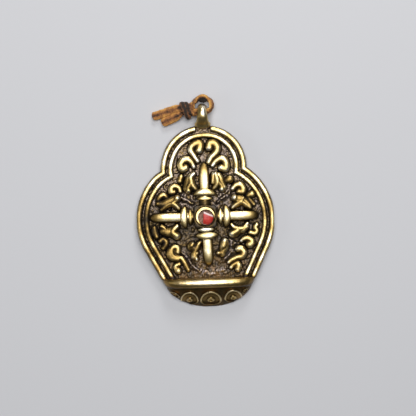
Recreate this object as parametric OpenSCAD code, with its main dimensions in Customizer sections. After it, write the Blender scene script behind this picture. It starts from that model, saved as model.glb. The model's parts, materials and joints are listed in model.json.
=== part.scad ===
// Double vajra pendant: a built-up brass amulet lying on its back, with a knotted thong in its bail.
// Lengths are millimetres. +Y runs to the bail and +Z out of the face.
// The origin is the middle of the vajra, on the plane of the back.

/* [Plate] */
// Thickness of the back plate
plate_t = 1.2; // [0.8:0.1:1.6]
// Radius of the round top lobe
lobe_r = 10; // [9.4:0.1:12]
// Height of the top lobe's centre above the middle of the vajra
lobe_y = 12; // [11.5:0.1:13.5]
// Radius of the round flanks
side_r = 15; // [14.4:0.1:17]
// Distance of each flank's centre from the middle line
side_x = 1.4; // [1:0.1:2.5]
// Height of the flanks' centres
side_y = -0.8; // [-1.2:0.1:0]
// Lean of the straight lower sides, in degrees
taper_deg = 27; // [22:1:30]
// Distance from the middle of the vajra down to the ledge
ledge_drop = 14.8; // [14:0.1:17]

/* [Rims] */
// Width of the outer rim
outer_rim_w = 1; // [0.7:0.05:1.2]
// Height of the outer rim above the plate
outer_rim_h = 2; // [1:0.1:2.6]
// Width of the groove between the rims
groove_w = 0.75; // [0.4:0.05:1]
// Width of the inner rim
inner_rim_w = 0.9; // [0.6:0.05:1.1]
// Height of the inner rim above the plate
inner_rim_h = 1.8; // [1:0.1:2.4]

/* [Pedestal] */
// Width of the ledge along the pendant
ledge_w = 2; // [1.4:0.1:3]
// Reach of the ledge past the foot of each outer rim
ledge_over = 0.1; // [0:0.05:0.6]
// Height of the ledge above the table
ledge_h = 5.8; // [4.8:0.1:8]
// Step in from the ledge's end to the bowl
bowl_step = 0.4; // [0.2:0.05:0.8]
// Length of the bowl below the ledge
bowl_l = 5; // [4.6:0.1:7]
// Height of the bowl where it meets the ledge
bowl_h = 4.4; // [3.6:0.1:5]
// Gap between the outer ridges of two petals
petal_gap = 0.2; // [0.15:0.05:0.6]
// Radius of the ridge round a petal's eye
petal_eye_r = 1.15; // [0.8:0.05:1.3]
// Width of the petal ridges
ridge_w = 0.6; // [0.3:0.05:0.65]
// Height of the petal ridges above the bowl
ridge_h = 0.45; // [0.2:0.05:0.8]
// Film of solder under the petal ridges
ridge_gap = 0.06; // [0.05:0.01:0.1]

/* [Hub] */
// Half the width of the square hub
hub_half = 2.6; // [2.4:0.05:2.9]
// Height of the hub above the plate
hub_h = 3.8; // [3:0.1:4.6]
// Rounding of the hub's upright corners
hub_corner = 0.6; // [0.3:0.05:1]
// Outer radius of the bezel cup
bezel_r = 2.3; // [2.15:0.05:2.35]
// Height of the bezel above the hub
bezel_h = 0.8; // [0.6:0.05:1.4]
// Depth that the bezel cup sits in the hub
bezel_sink = 0.6; // [0.4:0.05:1]
// Radius of the socket for the stone
socket_r = 1.8; // [1.5:0.05:1.85]
// Sideways offset of the socket in its cup
socket_x = 0.12; // [0:0.02:0.16]
// Lengthways offset of the socket in its cup
socket_y = -0.22; // [-0.24:0.02:0]
// Thickness of the bezel cup's floor
bezel_floor = 0.3; // [0.2:0.05:0.5]
// Thickness of the cement under the stone
cement_t = 0.35; // [0.2:0.05:0.5]
// Height of the stone's crown above the cement
stone_h = 1.1; // [0.8:0.05:1.6]
// Distance from the socket's middle to the broken side of the stone
break_x = 0.6; // [0.3:0.05:1]
// Slant of the broken side, in degrees
break_deg = 28; // [0:1:40]

/* [Arms] */
// Height of the arms' axis above the plate
arm_rise = 1.2; // [0.8:0.1:1.6]
// Radius of the core that joins an arm to the hub
core_r = 1.3; // [0.9:0.05:1.5]
// Radius of the neck rings
ring_r = 2; // [1.8:0.05:2.4]
// Thickness of the neck rings
ring_t = 0.7; // [0.5:0.05:0.9]
// Radius of the lotus collars
collar_r = 2.85; // [2.5:0.05:3.1]
// Thickness of the lotus collars
collar_t = 1.4; // [1.1:0.05:1.6]
// Gap between a neck ring and its collar
collar_gap = 0.5; // [0.3:0.05:0.8]
// Gap between the hub and the neck ring on the top arm
top_neck = 1.3; // [0.2:0.05:1.6]
// Gap between the hub and the neck rings on the side arms
side_neck = 0.65; // [0.2:0.05:1]
// Gap between the hub and the neck ring on the bottom arm
bottom_neck = 0.15; // [0.15:0.05:0.8]
// Lean of the bottom arm, in degrees
bottom_lean = 2.5; // [0:0.5:3]
// Width of the middle prongs
prong_w = 2.1; // [1.6:0.05:2.4]
// Height of the middle prongs above the plate
prong_h = 2.9; // [2:0.1:3.1]
// Rise of the top prong's tip above the lobe's centre
top_rise = 1; // [0.4:0.1:1.4]
// Gap between the left prong's tip and the inner rim
left_tip_gap = 0.45; // [0.3:0.05:1.5]
// Gap between the right prong's tip and the inner rim
right_tip_gap = 1.2; // [0.3:0.05:1.5]
// Gap between the bottom prong's tip and the ledge
bottom_tip_gap = 3; // [2:0.1:4]

/* [Side prongs] */
// Width of a side prong's root
side_prong_w = 1.15; // [0.8:0.05:1.3]
// Height of a side prong above the plate
side_prong_h = 2.2; // [1.5:0.1:2.8]
// Distance that a middle prong's tip runs past its side prongs
tip_lead = 2.3; // [1.8:0.1:3]
// Distance of a side prong's belly from the flank of the middle prong
belly_out = 2.25; // [2:0.05:2.5]
// Distance of a side prong's foot from the flank of the middle prong
ends_out = 1.1; // [0.8:0.05:1.3]
// Distance of the curled lobe's end from the flank of the middle prong
curl_out = 3.5; // [3.3:0.05:3.7]
// Width of the curled lobe
curl_w = 1.35; // [0.9:0.05:1.45]

/* [Scrolls] */
// Width of a scroll's stroke
scroll_w = 1.05; // [0.7:0.05:1.2]
// Height of the scrolls above the plate
scroll_h = 1.4; // [0.8:0.1:1.8]

/* [Bail] */
// Radius of the bail's eye
eye_r = 1.75; // [1.65:0.05:2]
// Thickness of the bail's strap
strap_t = 0.95; // [0.6:0.05:1.2]
// Width of the bail's strap
strap_w = 2.1; // [1.6:0.05:2.3]
// Distance of the eye's centre above the plate's top edge
eye_up = 2.3; // [2.3:0.05:2.6]
// Width of the bail's foot
foot_w = 3.8; // [3:0.1:5]
// Height of the bail's foot above the plate
foot_h = 2.1; // [1.4:0.1:2.6]

/* [Thong] */
// Diameter of the thong
thong_d = 1.3; // [0.9:0.05:1.4]
// Width of the thong's tails where they spread
tail_w = 1.85; // [1.3:0.05:2]

/* [Fits] */
// Clearance round pieces that fit in one another
fit = 0.04; // [0.03:0.01:0.08]

/* [Hidden] */
$fn = 48;
SECTION_STEP = 30;
SMOOTH_STEPS = 3;
SPACE = 100;

field_inset = outer_rim_w + groove_w + inner_rim_w;
lobe_c = [0, lobe_y];
side_c = [side_x, side_y];
lobe_field = lobe_r - field_inset;
side_field = side_r - field_inset;
lobe_top = lobe_y + lobe_r;
ledge_foot = ledge_drop + ledge_w;
arm_z = plate_t + arm_rise;
hub_top = plate_t + hub_h;
socket_c = [socket_x, socket_y];
socket_z = hub_top - bezel_sink + bezel_floor;
strap_r = eye_r + strap_t;
eye_c = [0, lobe_top + eye_up, strap_r];
prong_half = prong_w / 2;
ledge_half = taper_x(-ledge_drop, 0) + ledge_over;
bowl_half = ledge_half - bowl_step;
PETALS_ACROSS = 4.15;
WHOLE_PETALS = 1.5;
petal_pitch = 2 * bowl_half / PETALS_ACROSS;
petal_r = (petal_pitch - petal_gap - ridge_w) / 2;

// Name, turn, gap between hub and neck ring, reach of the middle prong, and names of the two side prongs
ARMS = [
    ["top", 0, top_neck, lobe_y + top_rise, ["left", "right"]],
    ["left", 90, side_neck, side_x + side_field - left_tip_gap, ["lower", "upper"]],
    ["bottom", 180 + bottom_lean, bottom_neck, ledge_drop - bottom_tip_gap, ["right", "left"]],
    ["right", 270, side_neck, side_x + side_field - right_tip_gap, ["upper", "lower"]],
];
SIDES = ["left", "right"];
// Place of each petal in pitches, and the arc of its outer ridge in degrees
PETALS = [[-1.85, 24, 64], [-0.87, 4, 172], [0.13, 4, 176], [1.13, 54, 176], [1.87, 128, 152]];
PETAL_DROP = 0.64 * bowl_l;

// Scroll drawings, as shares of the field that they fill: the top lobe or a flank
CROWN = [
    [0.15, 0.14], [0.27, 0.33], [0.39, 0.50], [0.41, 0.65], [0.33, 0.78], [0.20, 0.79], [0.13, 0.69],
    [0.17, 0.58]
];
SHOULDER = [
    [0.33, 0.05], [0.43, 0.20], [0.58, 0.26], [0.71, 0.16], [0.74, 0.01], [0.67, -0.10], [0.57, -0.05]
];
HOOK = [[0.85, 0.28], [0.78, 0.34], [0.73, 0.41], [0.75, 0.49], [0.81, 0.46]];
LEAF = [[0.71, -0.28], [0.80, -0.30], [0.86, -0.25], [0.86, -0.18]];
LOW_REACH = 0.51;
LOW = [[0.55, -0.47], [0.61, -0.41], [0.69, -0.39], [0.76, -0.44], [0.73, -LOW_REACH]];
// Scroll drawings below the cusp of the inner rim: share of the cusp's angle, and share of the flank's field
BUD = [[1.085, 0.785], [1.05, 0.845], [1.02, 0.885], [0.995, 0.905]];
HIGH = [[0.895, 0.713], [0.883, 0.804], [0.825, 0.868], [0.728, 0.870], [0.665, 0.815], [0.695, 0.757]];
// Scroll drawings near the ledge: distance in from the inner rim, and share of the height to the low scroll
WAVE = [
    [5.1, 0.26], [4.9, 0.42], [4.4, 0.54], [2.8, 0.63], [1.9, 0.74], [2.6, 0.87], [3.8, 0.935], [4, 0.84]
];
CORNER = [[3.6, 0.34], [3.2, 0.40], [2.2, 0.39], [1.6, 0.30], [1.9, 0.21]];
corner_h = ledge_drop + side_y - LOW_REACH * side_field;

// Route of the thong, in three stretches: the loop through the eye, and the two tails
LOOP = [
    [-2.5, 26.5, 1.9], [-2.2, 26.5, 1.9], [-1.8, 26.9, 2.0], [-1.7, 27.5, 2.2], [-1.1, 28.3, 2.4],
    [0.1, 28.7, 2.6], [1.3, 28.4, 2.7], [2.0, 27.6, 2.7], [2.2, 26.6, 2.7], [1.9, 25.6, 2.7],
    [1.1, 25.1, 2.7], [0, 25.1, 2.7], [-1.1, 25.1, 2.5], [-1.8, 24.9, 2.1], [-2.2, 24.8, 1.9],
    [-2.5, 24.8, 1.9],
];
TAIL_LONG = [
    [-5.1, 26.1, 1.8], [-5.5, 26.1, 1.8], [-6.2, 25.9, 1.5], [-7.6, 25.5, 1], [-9.8, 24.9, 0.8],
    [-12, 24.3, 0.8],
];
TAIL_SHORT = [
    [-5.1, 24.5, 1.6], [-5.5, 24.5, 1.6], [-6.1, 24.2, 1.3], [-7.2, 23.7, 0.9], [-8.5, 23.2, 0.8],
    [-9.8, 22.7, 0.8],
];
KNOT_C = [-3.8, 25.4, 1.9];
KNOT_L = 2.4;
KNOT_HALF = [2.3, 1.8];

// Name, line on the plate, and boldness of the stroke
SCROLLS = [
    ["crown", on_lobe(CROWN), 1.1], ["shoulder", on_lobe(SHOULDER), 1.05], ["bud", by_cusp(BUD), 1.35],
    ["high", by_cusp(HIGH), 1], ["hook", on_flank(HOOK), 0.9], ["leaf", on_flank(LEAF), 0.9],
    ["low", on_flank(LOW), 1], ["wave", by_ledge(WAVE), 1.05], ["corner", by_ledge(CORNER), 0.95],
];
NODES = concat(
    ["back_plate", "outer_rim_left", "outer_rim_right", "inner_rim", "pedestal_ledge", "pedestal_bowl"],
    [for (i = [1:len(PETALS)]) str("lotus_petal_", i)],
    ["hub_block", "bezel", "cement", "stone"],
    [for (kind = ["neck_ring", "lotus_collar", "prong"], arm = ARMS) str(kind, "_", arm[0])],
    [for (arm = ARMS, name = arm[4]) str("side_prong_", arm[0], "_", name)],
    [for (line = SCROLLS, side = SIDES) str("scroll_", line[0], "_", side)],
    ["bail", "thong_loop", "thong_knot", "thong_tail_long", "thong_tail_short"]
);
node = "all";

BRASS = "darkgoldenrod";

// Where a scroll drawing lies on the plate
function on_lobe(pts) = [for (p = pts) lobe_c + lobe_field * p];
function on_flank(pts) = [for (p = pts) side_c + side_field * p];
function by_cusp(pts) =
    let (turn = cusp_deg(field_inset))
    [for (p = pts) side_c + side_field * p[1] * [cos(p[0] * turn), sin(p[0] * turn)]];
function by_ledge(pts) =
    [for (p = pts) let (y = p.y * corner_h - ledge_drop) [taper_x(y, field_inset) - p.x, y]];

// Points along an arc
function arc(c, r, from, to, n) =
    [for (i = [0:n]) c + r * [cos(from + (to - from) * i / n), sin(from + (to - from) * i / n)]];

// The straight lower side at a height, for an outline drawn in by an inset
function taper_top(inset) = side_c + (side_r - inset) * [cos(taper_deg), -sin(taper_deg)];
function taper_x(y, inset) = taper_top(inset).x - (taper_top(inset).y - y) * tan(taper_deg);

// Where flank and lobe meet, as an angle at the flank's centre
function cusp_deg(inset) =
    let (rs = side_r - inset, rl = lobe_r - inset, way = lobe_c - side_c, d = norm(way))
    atan2(way.y, way.x) - acos((rs * rs + d * d - rl * rl) / (2 * rs * d));

// The right half of the outline, from the ledge up to a distance from the middle line
function half_outline(inset, stop_x) =
    let (
        turn = cusp_deg(inset),
        cusp = side_c + (side_r - inset) * [cos(turn), sin(turn)],
        start = atan2(cusp.y - lobe_c.y, cusp.x - lobe_c.x),
        stop = acos(stop_x / (lobe_r - inset)),
        flank = arc(side_c, side_r - inset, -taper_deg, turn, 14),
        crown = arc(lobe_c, lobe_r - inset, start, stop, 16)
    )
    concat([[taper_x(-ledge_drop, inset), -ledge_drop]], flank, [for (i = [1:len(crown) - 1]) crown[i]]);

function mirrored(pts) = [for (i = [len(pts) - 1:-1:0]) [-pts[i].x, pts[i].y]];

// A smooth line through chosen points
function along(a, b, c, d, t) =
    0.5 * (2 * b + (c - a) * t + (2 * a - 5 * b + 4 * c - d) * t * t + (3 * b - a - 3 * c + d) * t * t * t);
function smooth(pts) =
    let (last = len(pts) - 1)
    concat(
        [for (i = [0:last - 1], s = [0:SMOOTH_STEPS - 1])
            along(pts[max(i - 1, 0)], pts[i], pts[i + 1], pts[min(i + 2, last)], s / SMOOTH_STEPS)],
        [pts[last]]
    );
function heading(path, k) =
    let (a = path[max(k - 1, 0)], b = path[min(k + 1, len(path) - 1)]) (b - a) / norm(b - a);

// Half-round section on a flat foot, one wide and one high
function loaf() =
    [for (a = [0:SECTION_STEP:180]) [0.5 * sign(cos(a)) * pow(abs(cos(a)), 0.8), pow(sin(a), 0.85)]];

// Rings of a loaf along a path on the plate, with widths and heights that change along it
function ridge(path, w, h, widths, heights) =
    let (last = len(path) - 1)
    [for (k = [0:last])
        let (t = heading(path, k), across = [t.y, -t.x])
        [for (p = loaf()) [
            each (path[k] + across * p.x * w * lookup(k / last, widths)),
            plate_t + p.y * h * lookup(k / last, heights)
        ]]];

// Rings of a tube along a path in space, d deep, with widths that change along it
function tube(path, d, widths, up) =
    let (last = len(path) - 1)
    [for (k = [0:last])
        let (
            t = heading(path, k), side = cross(t, up) / norm(cross(t, up)), top = cross(side, t),
            w = lookup(k / last, widths)
        )
        [for (a = [0:45:315]) path[k] + w / 2 * cos(a) * side + d / 2 * sin(a) * top]];

// Solid between rings of points
module loft(rings) {
    m = len(rings[0]);
    last = len(rings) - 1;
    sides = [for (k = [0:last - 1], j = [0:m - 1])
        let (a = k * m + j, b = k * m + (j + 1) % m) each [[a, b + m, b], [a, a + m, b + m]]];
    caps = [for (j = [1:m - 2]) each [[0, j, j + 1], [last * m, last * m + j + 1, last * m + j]]];
    polyhedron([for (ring = rings) each ring], concat(sides, caps));
}

module above_plate() {
    intersection() {
        children();
        translate([-SPACE / 2, -SPACE / 2, plate_t]) cube(SPACE);
    }
}

module flipped(side) {
    mirror([side == "left" ? 1 : 0, 0, 0]) children();
}

// Plate and rims
module back_plate() {
    color(BRASS) linear_extrude(plate_t) union() {
        translate(lobe_c) circle(lobe_r, $fn = 180);
        intersection() {
            union() for (s = [-1, 1]) translate([s * side_x, side_y]) circle(side_r, $fn = 180);
            translate([-SPACE / 2, -ledge_drop]) square(SPACE);
            polygon(concat(
                [[taper_x(-ledge_drop, 0), -ledge_drop], taper_top(0), [SPACE, taper_top(0).y]],
                [[SPACE, SPACE], [-SPACE, SPACE], [-SPACE, taper_top(0).y]],
                [[-taper_top(0).x, taper_top(0).y], [-taper_x(-ledge_drop, 0), -ledge_drop]]
            ));
        }
        polygon([
            [taper_x(-ledge_drop, 0), -ledge_drop], taper_top(0), [-taper_top(0).x, taper_top(0).y],
            [-taper_x(-ledge_drop, 0), -ledge_drop]
        ]);
    }
}

function rim_rings(h, paths) =
    [for (k = [0:len(paths[0]) - 1])
        [for (j = [0:len(paths) - 1]) [paths[j][k].x, paths[j][k].y, plate_t + loaf()[j].y * h]]];

module outer_rim(side) {
    stop_x = foot_w / 2 + fit;
    paths = [for (p = loaf()) half_outline((0.5 - p.x) * outer_rim_w, stop_x)];
    color(BRASS) flipped(side) loft(rim_rings(outer_rim_h, paths));
}

module inner_rim() {
    inset = outer_rim_w + groove_w;
    halves = [for (p = loaf()) half_outline(inset + (0.5 - p.x) * inner_rim_w, 0)];
    paths = [for (h = halves) concat(h, [for (i = [1:len(h) - 1]) mirrored(h)[i]])];
    color(BRASS) loft(rim_rings(inner_rim_h, paths));
}

// Pedestal
LEDGE_ROUND = 0.16;
LEDGE_POWER = 3.4;
BOWL_POWER = 2.6;
function arch(y, half, h, power) =
    let (e = 2 / power)
    [for (a = [0:12:180]) [half * sign(cos(a)) * pow(abs(cos(a)), e), y, h * pow(sin(a), e)]];
function bowl_part(y) = (-ledge_foot - y) / bowl_l;
function plan_share(y) = sqrt(1 - pow((-ledge_drop - y) / (ledge_w + bowl_l), 2));
function bowl_width(y) = bowl_half * plan_share(y);
function bowl_height(y) = bowl_h * (1 - pow(bowl_part(y), 1.3));
function bowl_z(p) =
    bowl_height(p.y) * pow(max(1 - pow(abs(p.x) / bowl_width(p.y), BOWL_POWER), 0), 1 / BOWL_POWER);

module pedestal_ledge() {
    color(BRASS) loft([for (i = [0:6])
        let (y = -ledge_drop - ledge_w * (1 - cos(30 * i)) / 2, swell = 1 - LEDGE_ROUND * (1 - sin(30 * i)))
        arch(y, ledge_half * plan_share(y), ledge_h * swell, LEDGE_POWER)]);
}

module pedestal_bowl() {
    color(BRASS) loft([for (i = [0:12])
        let (y = -ledge_foot - bowl_l * 0.985 * sin(90 * i / 12))
        arch(y, bowl_width(y), bowl_height(y), BOWL_POWER)]);
}

function petal_ridge(c, r, from, to) =
    let (path = arc(c, r, from, to, 12))
    [for (k = [0:len(path) - 1])
        let (t = heading(path, k), across = [t.y, -t.x])
        [for (p = loaf())
            let (q = path[k] + across * p.x * ridge_w)
            [q.x, q.y, bowl_z(q) + ridge_gap + p.y * ridge_h]]];

module lotus_petal(petal) {
    c = [petal[0] * petal_pitch, -ledge_foot - PETAL_DROP];
    color(BRASS) {
        loft(petal_ridge(c, petal_r, petal[1], petal[2]));
        if (abs(petal[0]) < WHOLE_PETALS) loft(petal_ridge(c, petal_eye_r, 0, 180));
    }
}

// Hub and stone
module hub_block() {
    inner = hub_half - hub_corner;
    color(BRASS) difference() {
        translate([0, 0, plate_t]) linear_extrude(hub_h) union() {
            square([2 * hub_half, 2 * inner], center = true);
            square([2 * inner, 2 * hub_half], center = true);
            for (x = [-inner, inner], y = [-inner, inner]) translate([x, y]) circle(hub_corner);
        }
        translate([0, 0, hub_top - bezel_sink]) cylinder(r = bezel_r + fit, h = SPACE);
    }
}

module bezel() {
    color("gold") difference() {
        translate([0, 0, hub_top - bezel_sink]) cylinder(r = bezel_r, h = bezel_sink + bezel_h);
        translate([each socket_c, socket_z]) cylinder(r = socket_r, h = SPACE);
    }
}

module in_socket(z) {
    translate([each socket_c, z]) rotate([0, 0, break_deg]) children();
}

// The half of the socket that the stone has lost
module lost_side(z) {
    in_socket(z) translate([-SPACE, -SPACE / 2, 0]) cube([SPACE - break_x, SPACE, SPACE]);
}

module cement() {
    left = (bezel_floor + bezel_h) / 2;
    color("rosybrown") union() {
        in_socket(socket_z) cylinder(r = socket_r - fit, h = cement_t);
        intersection() {
            in_socket(socket_z) cylinder(r = socket_r - fit, h = cement_t + left);
            translate([-fit, 0, 0]) lost_side(socket_z);
        }
    }
}

module stone() {
    z = socket_z + cement_t;
    r = socket_r - fit;
    dome = (r * r + stone_h * stone_h) / (2 * stone_h);
    color("firebrick") difference() {
        intersection() {
            in_socket(z) cylinder(r = r, h = stone_h);
            in_socket(z + stone_h - dome) sphere(dome);
        }
        lost_side(z - fit);
    }
}

// Arms
ROOT_REACH = 0.85;
module on_arm(arm) {
    rotate([0, 0, arm[1]]) children();
}

module turned_on_axis() {
    translate([0, 0, arm_z]) rotate([-90, 0, 0]) rotate_extrude() children();
}

module round_edged(r, from, t) {
    translate([0, from]) square([r - t / 2, t]);
    translate([r - t / 2, from + t / 2]) intersection() {
        circle(t / 2);
        translate([0, -t]) square(2 * t);
    }
}

function ring_start(arm) = hub_half + arm[2];
function collar_start(arm) = ring_start(arm) + ring_t + collar_gap;
function collar_end(arm) = collar_start(arm) + collar_t;
function core_start() = (hub_half + core_r * sin(bottom_lean)) / cos(bottom_lean) + fit;

module neck_ring(arm) {
    color(BRASS) on_arm(arm) above_plate() turned_on_axis() difference() {
        round_edged(ring_r, ring_start(arm), ring_t);
        square([core_r + fit, SPACE]);
    }
}

module lotus_collar(arm) {
    color("goldenrod") on_arm(arm) above_plate() turned_on_axis() {
        round_edged(collar_r, collar_start(arm), collar_t);
        translate([0, core_start()]) square([core_r, collar_start(arm) - core_start()]);
    }
}

module prong(arm) {
    from = collar_end(arm);
    path = [for (f = [0, 0.2, 0.4, 0.6, 0.75, 0.85, 0.93, 1]) [0, from + (arm[3] - from) * f]];
    widths = [[0, 0.96], [0.3, 1], [0.7, 0.96], [0.85, 0.8], [1, 0.25]];
    heights = [[0, 1], [0.5, 0.97], [0.7, 0.9], [0.85, 0.72], [1, 0.3]];
    color("goldenrod") on_arm(arm) loft(ridge(path, prong_w, prong_h, widths, heights));
}

// A long prong that ends in a curled lobe, and the short root that carries it
module side_prong(arm, side) {
    from = collar_end(arm);
    l = arm[3] - tip_lead - from;
    belly = [prong_half + belly_out, from + 0.57 * l];
    blade = [
        [prong_half + curl_out, from + 0.13 * l], [prong_half + 0.9 * curl_out, from + 0.35 * l], belly,
        [prong_half + 0.7 * belly_out, from + 0.79 * l], [prong_half + 0.9 * ends_out, from + l]
    ];
    along_blade = heading(blade, 2);
    outward = [along_blade.y, -along_blade.x];
    foot = [prong_half + ends_out, from + 0.1 * l];
    head = belly - ROOT_REACH * side_prong_w * outward;
    blade_ws = [[0, 0.5], [0.08, 0.95], [0.2, 1], [0.5, 0.88], [0.8, 0.7], [1, 0.3]];
    blade_hs = [[0, 0.6], [0.15, 1], [0.5, 1], [1, 0.5]];
    root_ws = [[0, 0.6], [0.4, 0.9], [1, 0.8]];
    root_hs = [[0, 0.6], [0.4, 0.8], [1, 0.85]];
    color(BRASS) on_arm(arm) flipped(side) {
        loft(ridge(smooth(blade), curl_w, side_prong_h, blade_ws, blade_hs));
        loft(ridge([foot, 0.6 * foot + 0.4 * head, head], side_prong_w, side_prong_h, root_ws, root_hs));
    }
}

// Scrolls
module scroll(line, side) {
    widths = [[0, 0.45], [0.3, 0.92], [0.7, 1.05], [0.88, 1.28], [0.95, 1.15], [1, 0.5]];
    heights = [[0, 0.5], [0.3, 0.9], [0.7, 1], [0.9, 1.1], [1, 0.55]];
    color(BRASS) flipped(side) loft(ridge(smooth(line[1]), line[2] * scroll_w, scroll_h, widths, heights));
}

// Bail
module bail() {
    chamfer = strap_w / 7;
    seat = lobe_top - outer_rim_w;
    color("goldenrod") difference() {
        union() {
            translate(eye_c) rotate([0, 90, 0]) rotate_extrude($fn = 96) polygon([
                [0, -strap_w / 2], [strap_r - chamfer, -strap_w / 2], [strap_r, chamfer - strap_w / 2],
                [strap_r, strap_w / 2 - chamfer], [strap_r - chamfer, strap_w / 2], [0, strap_w / 2]
            ]);
            hull() {
                translate([-foot_w / 2, seat, plate_t]) cube([foot_w, outer_rim_w, foot_h]);
                translate([-strap_w / 2, lobe_top, plate_t]) cube([strap_w, eye_up - eye_r, foot_h * 1.3]);
            }
        }
        translate([-SPACE / 2, eye_c.y, eye_c.z]) rotate([0, 90, 0]) cylinder(r = eye_r, h = SPACE);
    }
}

// Thong
module thong_stretch(route, end_w) {
    widths = [[0, thong_d], [0.3, (thong_d + end_w) / 2], [0.6, end_w], [1, end_w]];
    color("peru") loft(tube(smooth(route), thong_d, widths, [0, 0, 1]));
}

module thong_loop() {
    thong_stretch(LOOP, thong_d);
}

module thong_tail_long() {
    thong_stretch(TAIL_LONG, tail_w);
}

module thong_tail_short() {
    thong_stretch(TAIL_SHORT, tail_w);
}

// Two turns of the thong side by side
module thong_knot() {
    color("saddlebrown") loft([for (k = [0:12])
        let (swell = 0.82 + 0.18 * abs(sin(30 * k)))
        [for (a = [0:30:330]) KNOT_C + [
            KNOT_L * (0.5 - k / 12), KNOT_HALF.x * swell * cos(a), KNOT_HALF.y * swell * sin(a)
        ]]]);
}

// Assembly
function shown(name) = node == "all" || node == name;

if (shown("back_plate")) back_plate();
for (side = SIDES) if (shown(str("outer_rim_", side))) outer_rim(side);
if (shown("inner_rim")) inner_rim();
if (shown("pedestal_ledge")) pedestal_ledge();
if (shown("pedestal_bowl")) pedestal_bowl();
for (i = [0:len(PETALS) - 1]) if (shown(str("lotus_petal_", i + 1))) lotus_petal(PETALS[i]);
if (shown("hub_block")) hub_block();
if (shown("bezel")) bezel();
if (shown("cement")) cement();
if (shown("stone")) stone();
for (arm = ARMS) if (shown(str("neck_ring_", arm[0]))) neck_ring(arm);
for (arm = ARMS) if (shown(str("lotus_collar_", arm[0]))) lotus_collar(arm);
for (arm = ARMS) if (shown(str("prong_", arm[0]))) prong(arm);
for (arm = ARMS, i = [0, 1])
    if (shown(str("side_prong_", arm[0], "_", arm[4][i]))) side_prong(arm, SIDES[i]);
for (line = SCROLLS, side = SIDES) if (shown(str("scroll_", line[0], "_", side))) scroll(line, side);
if (shown("bail")) bail();
if (shown("thong_loop")) thong_loop();
if (shown("thong_knot")) thong_knot();
if (shown("thong_tail_long")) thong_tail_long();
if (shown("thong_tail_short")) thong_tail_short();
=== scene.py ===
# %% [markdown]
# # A double vajra pendant
# The pendant is a small brass amulet that lies on its back. The solids already give every piece its size
# and place, so this lesson dresses them: it rounds each piece as hand finishing would, browns the recesses,
# wears the crests bright, ties the suede thong and lights the whole like a small object on a table.

# %% Load the frame
import json
import math
import bpy
import numpy as np
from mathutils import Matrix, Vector, noise


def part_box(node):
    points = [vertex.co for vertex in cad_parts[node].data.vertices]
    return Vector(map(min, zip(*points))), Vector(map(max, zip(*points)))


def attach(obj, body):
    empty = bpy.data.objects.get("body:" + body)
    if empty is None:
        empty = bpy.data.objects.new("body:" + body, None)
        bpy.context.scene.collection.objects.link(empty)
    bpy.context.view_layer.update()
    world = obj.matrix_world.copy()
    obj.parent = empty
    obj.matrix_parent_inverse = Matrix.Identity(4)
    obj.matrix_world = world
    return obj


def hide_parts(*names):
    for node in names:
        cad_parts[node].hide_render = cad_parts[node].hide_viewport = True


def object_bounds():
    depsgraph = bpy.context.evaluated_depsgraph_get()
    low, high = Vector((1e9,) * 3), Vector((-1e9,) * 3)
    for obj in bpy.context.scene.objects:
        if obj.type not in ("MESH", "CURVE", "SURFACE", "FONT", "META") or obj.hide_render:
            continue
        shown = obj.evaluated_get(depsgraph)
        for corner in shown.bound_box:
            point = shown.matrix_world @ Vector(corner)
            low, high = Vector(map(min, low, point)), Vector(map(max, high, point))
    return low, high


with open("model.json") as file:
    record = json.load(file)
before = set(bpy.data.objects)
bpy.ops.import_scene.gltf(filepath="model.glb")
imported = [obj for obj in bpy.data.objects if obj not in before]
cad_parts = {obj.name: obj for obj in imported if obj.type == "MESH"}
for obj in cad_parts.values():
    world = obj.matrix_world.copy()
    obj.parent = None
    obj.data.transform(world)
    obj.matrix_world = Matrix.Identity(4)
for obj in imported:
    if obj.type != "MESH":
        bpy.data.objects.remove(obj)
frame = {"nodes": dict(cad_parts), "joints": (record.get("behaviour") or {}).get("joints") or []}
cad_box = [list(corner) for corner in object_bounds()]
MM = 0.001
PLATE_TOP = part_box("back_plate")[1].z
EYE = Vector(next(j["pos_m"] for j in frame["joints"] if j["name"] == "thong_swing"))
print("pieces:", len(frame["nodes"]), "plate top at", round(PLATE_TOP / MM, 2), "mm")

# %% [markdown]
# ## Camera
# The pendant was photographed from straight above, and it leans a little to the left. The camera therefore
# looks down and turns the other way. Its height follows from the scale of the picture, worked out for a
# square frame.

# %% Place the camera
FRAME_PX = 416
MM_PER_PX = 0.24
HUB_PX = (205.4, 216.4)
LEAN = math.radians(1.8)
LENS, SENSOR = 90, 36
NEAREST = 0.01

aim_right = (FRAME_PX / 2 - HUB_PX[0]) * MM_PER_PX * MM
aim_up = (HUB_PX[1] - FRAME_PX / 2) * MM_PER_PX * MM
right = Vector((math.cos(LEAN), -math.sin(LEAN), 0))
up = Vector((math.sin(LEAN), math.cos(LEAN), 0))
distance = FRAME_PX * MM_PER_PX * MM * LENS / SENSOR
bpy.ops.object.select_all(action="DESELECT")
above = Vector((0, 0, distance + PLATE_TOP))
bpy.ops.object.camera_add(location=right * aim_right + up * aim_up + above)
camera = bpy.context.object
camera.name = "camera"
camera.rotation_euler = (0, 0, -LEAN)
camera.data.lens = LENS
camera.data.sensor_width = SENSOR
camera.data.clip_start = NEAREST
bpy.context.scene.camera = camera
print("camera height", round(distance / MM), "mm")

# %% [markdown]
# ## Floor and light
# Brass shows what it mirrors. One broad soft light stands almost overhead and makes the crests shine, a
# weaker one beyond the bail catches the slopes that face it, a third lifts the left side, and the floor is
# a plain pale sheet.

# %% Set the floor and the lights
FLOOR_SIZE, FLOOR_DROP = 4, 0.02 * MM
PAPER_GREY, PAPER_ROUGH = (0.62, 0.62, 0.64, 1), 0.9
SKY_BLUE, SKY_STRENGTH = (0.85, 0.92, 1.0, 1), 0.07
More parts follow.
